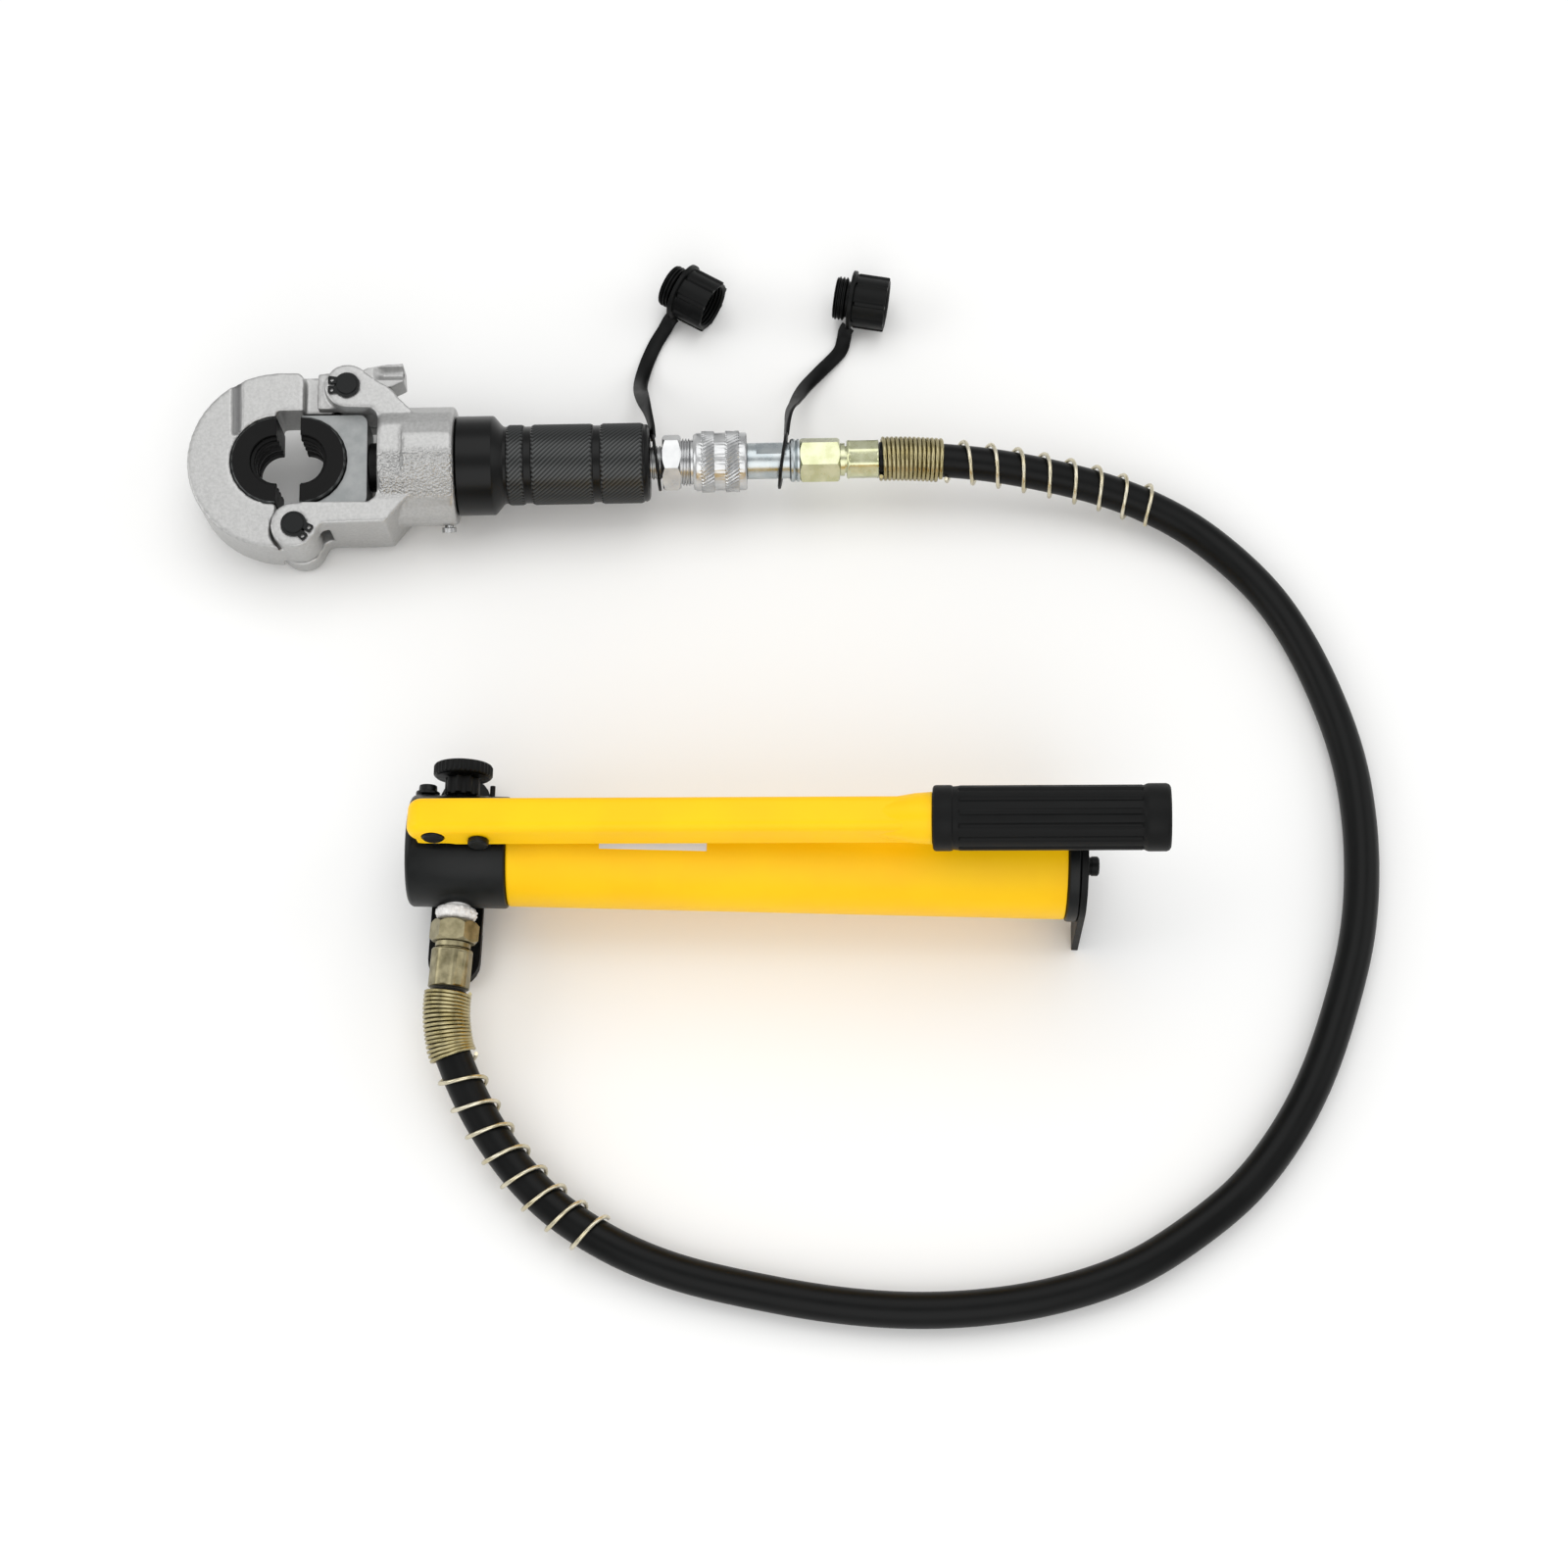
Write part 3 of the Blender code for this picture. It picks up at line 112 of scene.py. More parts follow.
def mottle(tree, shader, size, dark, light, low, high, bump, bump_size, depth=0.1):
    """Breaks up a surface: patches of two colours, a range of roughness and a fine grain."""
    place = add(tree, "ShaderNodeTexCoord", {}).outputs["Object"]
    patches = add(tree, "ShaderNodeTexNoise", {"Vector": place, "Scale": per_mm(size), "Detail": 4.0})
    tint = add(tree, "ShaderNodeValToRGB", {"Fac": patches.outputs["Fac"]})
    tint.color_ramp.elements[0].position = 0.35
    tint.color_ramp.elements[1].position = 0.65
    tint.color_ramp.elements[0].color = colour(dark)
    tint.color_ramp.elements[1].color = colour(light)
    tree.links.new(tint.outputs["Color"], shader.inputs["Base Color"])
    gloss = add(tree, "ShaderNodeMapRange", {"Value": patches.outputs["Fac"], "From Min": 0.3,
                                             "From Max": 0.7, "To Min": low, "To Max": high})
    tree.links.new(gloss.outputs["Result"], shader.inputs["Roughness"])
    grain = add(tree, "ShaderNodeTexNoise", {"Vector": place, "Scale": per_mm(bump_size), "Detail": 3.0})
    relief = add(tree, "ShaderNodeBump", {"Height": grain.outputs["Fac"], "Strength": bump,
                                          "Distance": depth * MM})
    tree.links.new(relief.outputs["Normal"], shader.inputs["Normal"])
    return place, relief


# Steel casting, tumbled and satin plated: a fine pearly grain, faintly mottled.
cast, tree, shader = finish("satin_cast_steel", "#B0B0AF", 0.8, 0.38)
place, relief = mottle(tree, shader, 1.4, "#AAAAA9", "#B8B8B7", 0.36, 0.44, 0.4, 0.8, 0.12)
# Sand-cast skin left on the boss: coarse bright sparkle where the attribute is set.
coarse = add(tree, "ShaderNodeAttribute", {}, attribute_name="sand_skin")
pits = add(tree, "ShaderNodeTexVoronoi", {"Vector": place, "Scale": per_mm(1.1)})
sand = add(tree, "ShaderNodeMath", {0: coarse.outputs["Fac"], 1: pits.outputs["Distance"]},
           operation="MULTIPLY")
sand_relief = add(tree, "ShaderNodeBump", {"Height": sand.outputs["Value"], "Strength": 0.9,
                                           "Distance": 0.9 * MM, "Normal": relief.outputs["Normal"]})
tree.links.new(sand_relief.outputs["Normal"], shader.inputs["Normal"])
# Painted shade: the floor of a cast groove is mixed towards a darker grey than the skin round it, where the
# groove attribute is set.
sunk = add(tree, "ShaderNodeAttribute", {}, attribute_name="groove")
tone = shader.inputs["Base Color"].links[0].from_socket
painted_groove_shade = add(tree, "ShaderNodeMix", {"Factor": sunk.outputs["Fac"], 6: tone, 7: colour("#6C6C6C")},
           data_type="RGBA")
tree.links.new(painted_groove_shade.outputs[2], shader.inputs["Base Color"])

# Ground steel of the sliding block: an even, dull grey. Its grinding lines are too fine to show.
ground, tree, shader = finish("ground_steel", "#929494", 0.8, 0.45)
mottle(tree, shader, 8.0, "#8A8D8D", "#9C9E9E", 0.42, 0.5, 0.25, 0.6, 0.05)

# Hardened die steel, blackened: near black with a dull oil sheen.
die_steel, tree, shader = finish("blackened_die_steel", "#080808", 0.0, 0.46, Specular_IOR_Level=0.14)
mottle(tree, shader, 4.0, "#060606", "#0C0C0C", 0.4, 0.52, 0.3, 0.5, 0.05)

# Painted highlight: the dies' edge chamfers are coloured a lighter grey steel.
die_edge_highlight, tree, shader = finish("painted_die_edge_highlight", "#4B4D4D", 0.8, 0.35)
mottle(tree, shader, 3.0, "#2E3030", "#666868", 0.3, 0.42, 0.2, 0.5, 0.05)

# Black oxide on turned steel: green-black and semi-gloss, faintly mottled.
black_oxide, tree, shader = finish("black_oxide_steel", "#080A0A", 0.0, 0.36, Specular_IOR_Level=0.22)
mottle(tree, shader, 6.0, "#060808", "#0C0F0F", 0.32, 0.42, 0.2, 0.5, 0.04)

# Knurled black oxide: the same skin, its raised tips worn grey where the attribute is set.
knurl, tree, shader = finish("knurled_black_oxide", "#080808", 0.25, 0.32, Specular_IOR_Level=0.28)
tips = add(tree, "ShaderNodeAttribute", {}, attribute_name="knurl_tip")
wear = add(tree, "ShaderNodeValToRGB", {"Fac": tips.outputs["Fac"]})
wear.color_ramp.elements[0].color = colour("#030404")
wear.color_ramp.elements[1].color = colour("#4E5050")
tree.links.new(wear.outputs["Color"], shader.inputs["Base Color"])

# Bright nickel plate: cool white metal, mirror-like with slight haze.
nickel, tree, shader = finish("bright_nickel", "#BFC0C1", 1.0, 0.3)
mottle(tree, shader, 7.0, "#B5B6B7", "#C8C9C9", 0.26, 0.34, 0.12, 0.8, 0.04)

# Blue zinc plate on the plug: slightly bluish silver.
blue_zinc, tree, shader = finish("blue_zinc_plate", "#B2B9BB", 1.0, 0.28)
mottle(tree, shader, 6.0, "#A6AEB1", "#BCC2C3", 0.24, 0.34, 0.12, 0.8, 0.04)

# White zinc on screws and the stub: plain grey silver.
white_zinc, tree, shader = finish("white_zinc_plate", "#B5B6B6", 1.0, 0.32)
mottle(tree, shader, 4.0, "#A5A6A6", "#C4C5C5", 0.26, 0.38, 0.15, 0.6, 0.04)

# Yellow zinc plate on the swivel nuts: pale greenish gold.
yellow_zinc, tree, shader = finish("yellow_zinc_plate", "#C4C6A4", 1.0, 0.3)
mottle(tree, shader, 5.0, "#B8BA94", "#CCCEB0", 0.22, 0.34, 0.15, 0.6, 0.04)

# Older yellow zinc at the pump end: deeper, browner gold.
old_zinc, tree, shader = finish("dull_yellow_zinc", "#8E866A", 1.0, 0.32)
mottle(tree, shader, 5.0, "#777055", "#A0987A", 0.28, 0.4, 0.15, 0.6, 0.04)

# Close-wound coils: wire plated a pale olive brass, bright with a slight haze.
olive_wire, tree, shader = finish("olive_plated_wire", "#A49A72", 1.0, 0.25)
mottle(tree, shader, 6.0, "#968B62", "#B2A984", 0.22, 0.34, 0.1, 0.6, 0.04)

# Open springs: warm silver drawn wire.
spring_wire, tree, shader = finish("drawn_spring_wire", "#CFC7AE", 1.0, 0.26)
mottle(tree, shader, 8.0, "#C0B697", "#D9D3BF", 0.22, 0.32, 0.1, 0.6, 0.03)

# Extruded hose cover: black rubber-like polymer with a long soft sheen.
hose_rubber, tree, shader = finish("hose_cover_rubber", "#050606", 0.0, 0.38, Specular_IOR_Level=0.15)
mottle(tree, shader, 14.0, "#040505", "#080909", 0.34, 0.42, 0.25, 1.2, 0.05)

# Moulded grip rubber: matt black with a fine texture.
grip_rubber, tree, shader = finish("moulded_grip_rubber", "#080909", 0.0, 0.5, Specular_IOR_Level=0.15)
mottle(tree, shader, 10.0, "#070808", "#0C0D0D", 0.44, 0.56, 0.35, 0.7, 0.06)

# Moulded nylon of the caps, straps and knob: black, low sheen.
nylon, tree, shader = finish("moulded_black_nylon", "#050606", 0.0, 0.42, Specular_IOR_Level=0.15)
mottle(tree, shader, 7.0, "#040505", "#090A0A", 0.36, 0.48, 0.2, 0.6, 0.04)

# Baked enamel on the pump: deep even yellow, satin, with slight orange peel.
enamel, tree, shader = finish("yellow_enamel", "#FFC802", 0.0, 0.42, Specular_IOR_Level=0.22)
mottle(tree, shader, 30.0, "#FDC500", "#FFCB02", 0.38, 0.46, 0.15, 1.8, 0.04)

# Brushed-on satin black paint of the feet.
black_paint, tree, shader = finish("satin_black_paint", "#080909", 0.0, 0.42, Specular_IOR_Level=0.15)
mottle(tree, shader, 6.0, "#070808", "#0C0D0D", 0.38, 0.5, 0.3, 1.0, 0.06)

# Thread tape: many thin layers of white film, wrinkled.
tape, tree, shader = finish("white_thread_tape", "#EDEBE8", 0.0, 0.55)
mottle(tree, shader, 2.0, "#DAD7D4", "#F6F5F3", 0.5, 0.62, 0.8, 1.4, 0.4)

# Label foil, blank and pale grey.
label, tree, shader = finish("blank_label_foil", "#DDE6E8", 0.0, 0.4)
mottle(tree, shader, 20.0, "#D8E2E5", "#E0E8EA", 0.36, 0.44, 0.1, 1.0, 0.02)

# Pale seamless floor.
floor_paper, tree, shader = finish("pale_floor", "#F4F4F3", 0.0, 0.8)


# ---- ways of making pieces -----------------------------------------------------------
def settle(name, bm, at, material, body, stands_for=(), sharp=32, bevel=0.0, steps=2):
    """Sets a shaped mesh in place as a finished piece that rides on a body."""
    bm.transform(at)
    mesh = bpy.data.meshes.new(name)
    bm.to_mesh(mesh)
    bm.free()
    mesh.shade_smooth()
    mesh.set_sharp_from_angle(angle=math.radians(sharp))
    for one in material if isinstance(material, (list, tuple)) else [material]:
        mesh.materials.append(one)
    piece = bpy.data.objects.new(name, mesh)
    bpy.context.scene.collection.objects.link(piece)
    if bevel:
        edge = piece.modifiers.new("edge", "BEVEL")
        edge.width = bevel * MM
        edge.segments = steps
        edge.limit_method = "ANGLE"
        edge.angle_limit = math.radians(sharp)
        edge.harden_normals = True
    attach(piece, body)
    if stands_for:
        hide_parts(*stands_for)
    return piece


def arc(centre, radius, start, end, steps):
    """Points on a circle from start to end, both in degrees."""
    turn = [math.radians(start + (end - start) * i / steps) for i in range(steps + 1)]
    return [(centre[0] + radius * math.cos(a), centre[1] + radius * math.sin(a)) for a in turn]


def turned(profile, steps=96, turn=360.0, axis="X"):
    """A solid turned about an axis from (along, radius) points; a ring if it leaves the axis."""
    bm = bmesh.new()
    points = [bm.verts.new((x, 0, r)) if axis == "X" else bm.verts.new((r, 0, x)) for x, r in profile]
    edges = [bm.edges.new(pair) for pair in zip(points, points[1:])]
    if profile[0][1] > 0:
        edges.append(bm.edges.new((points[-1], points[0])))
    bmesh.ops.spin(bm, geom=points + edges, cent=(0, 0, 0),
                   axis=(1, 0, 0) if axis == "X" else (0, 0, 1), angle=math.radians(turn),
                   steps=steps, use_merge=turn == 360.0, use_duplicate=False)
    bmesh.ops.remove_doubles(bm, verts=bm.verts, dist=1e-4)
    if turn != 360.0:
        bmesh.ops.holes_fill(bm, edges=[e for e in bm.edges if e.is_boundary], sides=0)
    bmesh.ops.recalc_face_normals(bm, faces=bm.faces)
    return bm


def plate(outline, low, high):
    """A flat outline in x and y as a solid from z = low to z = high."""
    bm = bmesh.new()
    face = bm.faces.new([bm.verts.new((x, y, low)) for x, y in outline])
    raised = bmesh.ops.extrude_face_region(bm, geom=[face])["geom"]
    bmesh.ops.translate(bm, verts=[v for v in raised if isinstance(v, bmesh.types.BMVert)],
                        vec=(0, 0, high - low))
    bmesh.ops.recalc_face_normals(bm, faces=bm.faces)
    return bm


def block(low, high):
    """A box between two corners."""
    bm = bmesh.new()
    bmesh.ops.create_cube(bm, size=1.0)
    low, high = Vector(low), Vector(high)
    bmesh.ops.scale(bm, verts=bm.verts, vec=high - low)
    bmesh.ops.translate(bm, verts=bm.verts, vec=(low + high) / 2)
    return bm


def cut(bm, tool, operation="DIFFERENCE"):
    """Cuts one shape with another and gives the result back as a bmesh."""
    pair = []
    for shape in (bm, tool):
        mesh = bpy.data.meshes.new("cut")
        shape.to_mesh(mesh)
        shape.free()
        pair.append(bpy.data.objects.new("cut", mesh))
        bpy.context.scene.collection.objects.link(pair[-1])
    step = pair[0].modifiers.new("cut", "BOOLEAN")
    step.object, step.operation = pair[1], operation
    result = pair[0].evaluated_get(bpy.context.evaluated_depsgraph_get())
    out = bmesh.new()
    out.from_mesh(result.to_mesh())
    for obj in pair:
        mesh = obj.data
        bpy.data.objects.remove(obj)
        bpy.data.meshes.remove(mesh)
    return out


def hexagon(flats, low, high, bore, chamfer=1.0):
    """A hexagonal nut along x: a six-sided bar, turned chamfers and a bore."""
    corner = flats / math.sqrt(3)
    bm = bmesh.new()
    bmesh.ops.create_cone(bm, cap_ends=True, segments=6, radius1=corner, radius2=corner, depth=high - low)
    bmesh.ops.rotate(bm, verts=bm.verts, matrix=Matrix.Rotation(math.radians(90), 3, "Y"))
    bmesh.ops.translate(bm, verts=bm.verts, vec=((low + high) / 2, 0, 0))
    trim = turned([(low - 1, flats / 2 - 1.2), (low + chamfer, corner + 0.2),
                   (high - chamfer, corner + 0.2), (high + 1, flats / 2 - 1.2),
                   (high + 1, bore), (low - 1, bore)], 72)
    return cut(bm, trim, "INTERSECT")


def ridges(low, high, radius, depth, pitch):
    """Profile points of a thread's ridges, or of any even row of rings."""
    count = max(1, round((high - low) / pitch))
    step = (high - low) / count
    points = []
    for i in range(count):
        start = low + step * i
        points += [(start + 0.12 * step, radius - depth), (start + 0.4 * step, radius),
                   (start + 0.6 * step, radius), (start + 0.88 * step, radius - depth)]
    return points


def cad_copy(node):
    """The CAD solid of a node as a clean bmesh, its flat faces whole again."""
    bm = bmesh.new()
    bm.from_mesh(nodes[node].data)
    bmesh.ops.remove_doubles(bm, verts=bm.verts, dist=1e-6)
    bmesh.ops.dissolve_limit(bm, angle_limit=math.radians(1), verts=bm.verts, edges=bm.edges)
    return bm


def eased(node, material, body, bevel=0.25, sharp=32, steps=2):
    """A small machined piece: its CAD solid with every edge broken."""
    return settle(node + "_piece", cad_copy(node), Matrix.Identity(4), material, body, [node],
                  sharp, bevel, steps)


def casting(node, at, voxel, dress, body):
    """A casting: the CAD solid remeshed fine, its edges eased round, then dressed by its dress function."""
    raw = bpy.data.meshes.new(node)
    bm = bmesh.new()
    bm.from_mesh(nodes[node].data)
    bmesh.ops.remove_doubles(bm, verts=bm.verts, dist=1e-6)
    bm.to_mesh(raw)
    bm.free()
    rough = bpy.data.objects.new(node, raw)
    bpy.context.scene.collection.objects.link(rough)
    skin = rough.modifiers.new("skin", "REMESH")
    skin.mode, skin.voxel_size = "VOXEL", voxel * MM
    ease = rough.modifiers.new("ease", "SMOOTH")
    ease.factor, ease.iterations = 0.5, 5
    out = bmesh.new()
    out.from_mesh(rough.evaluated_get(bpy.context.evaluated_depsgraph_get()).to_mesh())
    bpy.data.objects.remove(rough)
    bpy.data.meshes.remove(raw)
    out.transform(at.inverted())
    sand = out.verts.layers.float.new("sand_skin")
    # The groove layer marks where painted shade darkens a groove's floor.
    groove = out.verts.layers.float.new("groove")
    for vert in out.verts:
        vert[sand], vert[groove] = dress(vert.co)
    return settle(node + "_casting", out, at, cast, body, [node], sharp=180)


def smooth_route(points, samples):
    """Evenly spaced points on a Catmull-Rom curve through the given points."""
    knots = [Vector(p) for p in points]
    knots = [2 * knots[0] - knots[1], *knots, 2 * knots[-1] - knots[-2]]
    fine = []
    for a, b, c, d in zip(knots, knots[1:], knots[2:], knots[3:]):
        for i in range(20):
            t = i / 20
            fine.append(0.5 * (2 * b + (c - a) * t + (2 * a - 5 * b + 4 * c - d) * t * t
                               + (3 * b - a - 3 * c + d) * t ** 3))
    fine.append(knots[-2])
    lengths = [0.0]
    for a, b in zip(fine, fine[1:]):
        lengths.append(lengths[-1] + (b - a).length)
    route, j = [], 0
    for i in range(samples):
        goal = lengths[-1] * i / (samples - 1)
        while j < len(fine) - 2 and lengths[j + 1] < goal:
            j += 1
        share = (goal - lengths[j]) / (lengths[j + 1] - lengths[j])
        route.append(fine[j].lerp(fine[j + 1], share))
    return route, lengths[-1]


def point_on(route, length, distance):
    """The point and direction at a distance along an evenly spaced route."""
    along = distance / length * (len(route) - 1)
    i = min(max(int(along), 0), len(route) - 2)
    before, after = [(route[min(k + 1, len(route) - 1)] - route[max(k - 1, 0)]).normalized()
                     for k in (i, i + 1)]
    return route[i].lerp(route[i + 1], along - i), before.lerp(after, along - i).normalized()


def wire(name, points, radius, material, body, stands_for=(), detail=4):
    """A round wire, tube or hose as a curve through points on the floor's frame."""
    curve = bpy.data.curves.new(name, "CURVE")
    curve.dimensions = "3D"
    curve.bevel_depth = radius * MM
    curve.bevel_resolution = detail
    curve.use_fill_caps = True
    spline = curve.splines.new("POLY")
    spline.points.add(len(points) - 1)
    for point, at in zip(spline.points, points):
        point.co = (*(Vector(at) * MM), 1)
    curve.materials.append(material)
    piece = bpy.data.objects.new(name, curve)
    bpy.context.scene.collection.objects.link(piece)
    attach(piece, body)
    if stands_for:
        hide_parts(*stands_for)
    return piece


# ---- camera and hose ---------------------------------------------------------------------
ELEVATION = math.radians(66)
DISTANCE = 1.456
TARGET = Vector((0.0575, -0.0857, 0.0))
camera = bpy.data.objects.new("camera", bpy.data.cameras.new("camera"))
camera.data.lens = 72
camera.data.sensor_width = 36
camera.location = TARGET + DISTANCE * Vector((0, -math.cos(ELEVATION), math.sin(ELEVATION)))
camera.rotation_euler = (math.pi / 2 - ELEVATION, 0, 0)
bpy.context.scene.collection.objects.link(camera)
bpy.context.scene.camera = camera

HOSE_R = 8.0
HOSE_SAMPLES = 260
HOSE_EASING = 24
HOSE_ROUTE = [
    (102.9, 70.9, 29.0), (115.5, 71.1, 28.8), (133.1, 70.6, 28.0), (153.3, 69.6, 26.6),
    (174.4, 67.0, 23.8), (198.0, 63.5, 19.8), (214.6, 59.9, 16.6), (226.8, 56.0, 14.4),
    (251.6, 43.9, 10.6), (269.6, 28.2, 8.8), (286.6, 9.3, 8.3), (301.1, -17.7, 8.3),
    (312.6, -49.9, 8.3), (319.6, -79.5, 8.3), (321.8, -111.0, 8.3), (320.6, -138.2, 8.3),
    (316.3, -166.9, 8.3), (308.1, -193.7, 8.3), (297.7, -222.8, 8.3), (285.1, -248.3, 8.3),
    (269.9, -270.3, 8.3), (253.9, -288.0, 8.3), (215.4, -315.6, 8.3), (192.6, -325.1, 8.3),
    (168.3, -332.0, 8.3), (141.7, -335.8, 8.3), (116.0, -337.1, 8.3), (91.2, -335.8, 8.3),
    (65.5, -332.4, 8.3), (40.6, -327.3, 8.4), (15.3, -321.8, 8.8), (-10.2, -312.6, 10.2),
    (-27.3, -303.3, 11.0), (-43.8, -292.0, 11.5), (-54.7, -281.2, 12.3), (-64.4, -269.6, 13.4),
    (-73.3, -256.7, 15.0), (-81.1, -242.7, 17.4), (-87.9, -228.2, 21.0), (-90.9, -213.7, 25.1),
    (-91.3, -205.5, 26.8), (-90.75, -198.1, 28.05),
]
fine, _ = smooth_route(HOSE_ROUTE, HOSE_SAMPLES)
# Each pass averages every point with its neighbours, apart from the eight at either end.
for _ in range(HOSE_EASING):
    fine[8:-8] = [(a + 2 * b + c) / 4 for a, b, c in zip(fine[7:], fine[8:-8], fine[9:])]
route, hose_length = smooth_route(fine, HOSE_SAMPLES)
hose = wire("hose_tube", route, HOSE_R, hose_rubber, "frame", ["hose"], 8)

GUARD_LENGTH = 30.0
GUARD_R = 10.6
COIL_LENGTH = 104.0
COIL_TURNS = 8
COIL_R = 9.75
COIL_WIRE_R = 0.95


def coil_round(start, way, low, run, turns, radius):
    """Points of a coil round the hose, from low along it for run, out from one of its ends."""
    points, steps = [], 24
    for i in range(turns * steps + 1):
        along = low + run * i / (turns * steps)
        centre, ahead = point_on(route, hose_length, start + way * along)
        side = ahead.cross(Vector((0, 0, 1))).normalized()
        points.append(centre + Quaternion(ahead, math.tau * i / steps) @ side * radius)
    return points


for suffix, start, way, turns, thick in (("head", 0.0, 1, 14, 0.98), ("pump", hose_length, -1, 17, 0.82)):
    coil = coil_round(start, way, 0.6, GUARD_LENGTH - 1.2, turns, GUARD_R - thick)
    wire("close_coil_" + suffix, coil, thick, olive_wire, "frame",
                       ["hose_guard_" + suffix], 2)
    coil = coil_round(start, way, GUARD_LENGTH + 2.0, COIL_LENGTH - 2.0, COIL_TURNS, COIL_R)
    wire("open_coil_" + suffix, coil, COIL_WIRE_R, spring_wire, "frame",
                       ["hose_spring_" + suffix], 2)


# ---- press head -------------------------------------------------------------------------
def dress_yoke(p):
    """A slightly uneven cast skin, with coarse sand grain on the boss's near half."""
    p += 0.05 * noise.noise_vector(p * 0.35)
    near = min(1.0, max(0.0, (1.0 - p.y) / 4.0)) * min(1.0, max(0.0, (p.y + 22.5) / 3.0))
    return near * min(1.0, max(0.0, (p.x - 50.5) / 2.0)), 0.0


def dress_jaw(p):
    """Sinks the short groove across the jaw's face at its upper left."""
    sunk = 0.0
    if p.z > 12.5 and 12 < p.y < 41:
        across = abs(p.x + 17.2 + 0.02 * (p.y - 20)) / 2.6
        if across < 1:
            sunk = (1 - across ** 4) * min(1, (p.y - 12) / 2) * min(1, (41 - p.y) / 3)
            p.z -= 1.2 * sunk
    p += 0.05 * noise.noise_vector(p * 0.35)
    # How far the groove is sunk also sets the painted shade on its floor.
    return 0.0, sunk


def dress_latch(p):
    """Hollows the thumb finger's face between its rims."""
    along = min(1.0, max(0.0, (p.x - 46.0) / 5.0))
    if p.z > 5 and along > 0 and p.y < 52:
        across = abs(p.y - 44.6) / 3.4
        if across < 1:
            p.z -= 3.2 * along * (1 - across * across)
    return 0.0, 0.0


casting("yoke", HEAD, 0.75, dress_yoke, "frame")
casting("jaw", HEAD, 0.75, dress_jaw, "jaw")
casting("latch", HEAD, 0.45, dress_latch, "latch")


def die(name, plane, start, body):
    """A half-round press die: chamfered rims, a stepped mouth and three grooves in the bore."""
    profile = [(-14.0, 20.6), (-13.1, 21.5), (13.1, 21.5), (14.0, 20.6), (14.0, 12.6), (13.6, 12.2),
               (11.2, 12.2), (11.0, 10.8), (10.2, 10.5), (8.2, 10.5), (7.6, 11.9), (4.6, 11.9),
               (4.0, 10.7), (1.6, 10.5), (1.0, 11.9), (-1.8, 11.9), (-2.4, 10.5), (-5.0, 10.7),
               (-5.6, 11.9), (-8.4, 11.9), (-9.0, 10.6), (-13.2, 10.5), (-14.0, 11.3)]
    bm = turned(profile, 64, 180.0, axis="Z")
    bmesh.ops.rotate(bm, verts=bm.verts, matrix=Matrix.Rotation(math.radians(start), 3, "Z"))
    # Rim chamfer faces take the second material, a painted highlight in lighter grey steel.
    for face in bm.faces:
        middle = face.calc_center_median()
        rim = 20.6 < middle.xy.length < 21.45 and 13.1 < abs(middle.z) < 14.0
        face.material_index = int(rim and abs(face.normal.z) < 0.95)
    bmesh.ops.translate(bm, verts=bm.verts, vec=(plane, 0, 0))
    settle(name + "_half", bm, HEAD, [die_steel, die_edge_highlight], body, [name],
           bevel=0.2)


die("jaw_die", 1.5, 90, "jaw")
die("ram_die", 12.9, -90, "ram")
eased("ram_block", ground, "ram", 0.7, sharp=40, steps=3)
rod = turned([(37.4, 0), (37.4, 5.0), (44.6, 5.0), (44.6, 11.2), (45.0, 11.6), (96.0, 11.6),
              (96.0, 15.4), (99.0, 15.4), (99.0, 13.2), (103.0, 13.2), (103.0, 15.4),
              (107.0, 15.4), (107.0, 0)], 64)
settle("piston_rod", rod, HEAD, die_steel, "ram", ["piston"], bevel=0.3)

KNURL_STEPS = 104
KNURL_PITCH = 1.15
BANDS = ((110.0, 117.9), (121.6, 150.5), (154.3, 174.3))
profile = [(66.4, 20.8), (67.4, 21.9), (85.8, 21.9), (86.1, 22.7), (86.9, 23.5), (103.2, 23.5),
           (104.0, 23.1), (107.4, 19.0), (108.4, 18.3)]
for low, high in BANDS:
    rows = round((high - low) / KNURL_PITCH)
    profile += [(low - 0.3, 18.2), (low, 18.5)]
    profile += [(low + (high - low) * i / rows, 18.7) for i in range(1, rows)]
    profile += [(high, 18.5), (high + 0.3, 18.2)]
profile += [(175.0, 18.2), (175.6, 18.4), (176.4, 18.0), (177.2, 17.0), (177.4, 16.2), (177.4, 6.2),
            (164.0, 6.2), (164.0, 2.5), (150.0, 2.5), (150.0, 16.0), (66.4, 16.0)]
grip = turned(profile, KNURL_STEPS)
tip = grip.verts.layers.float.new("knurl_tip")
for vert in grip.verts:
    for low, high in BANDS:
        if low + 0.1 < vert.co.x < high - 0.1 and vert.co.yz.length > 17:
            rows = round((high - low) / KNURL_PITCH)
            row = round((vert.co.x - low) / (high - low) * rows)
            column = round(math.atan2(vert.co.z, vert.co.y) / math.tau * KNURL_STEPS)
            raised = (row + column) % 2
            vert.co.yz = vert.co.yz * ((19.05 if raised else 18.1) / vert.co.yz.length)
            vert[tip] = raised
settle("knurled_barrel", grip, HEAD, knurl, "frame", ["cylinder_barrel"], sharp=24)

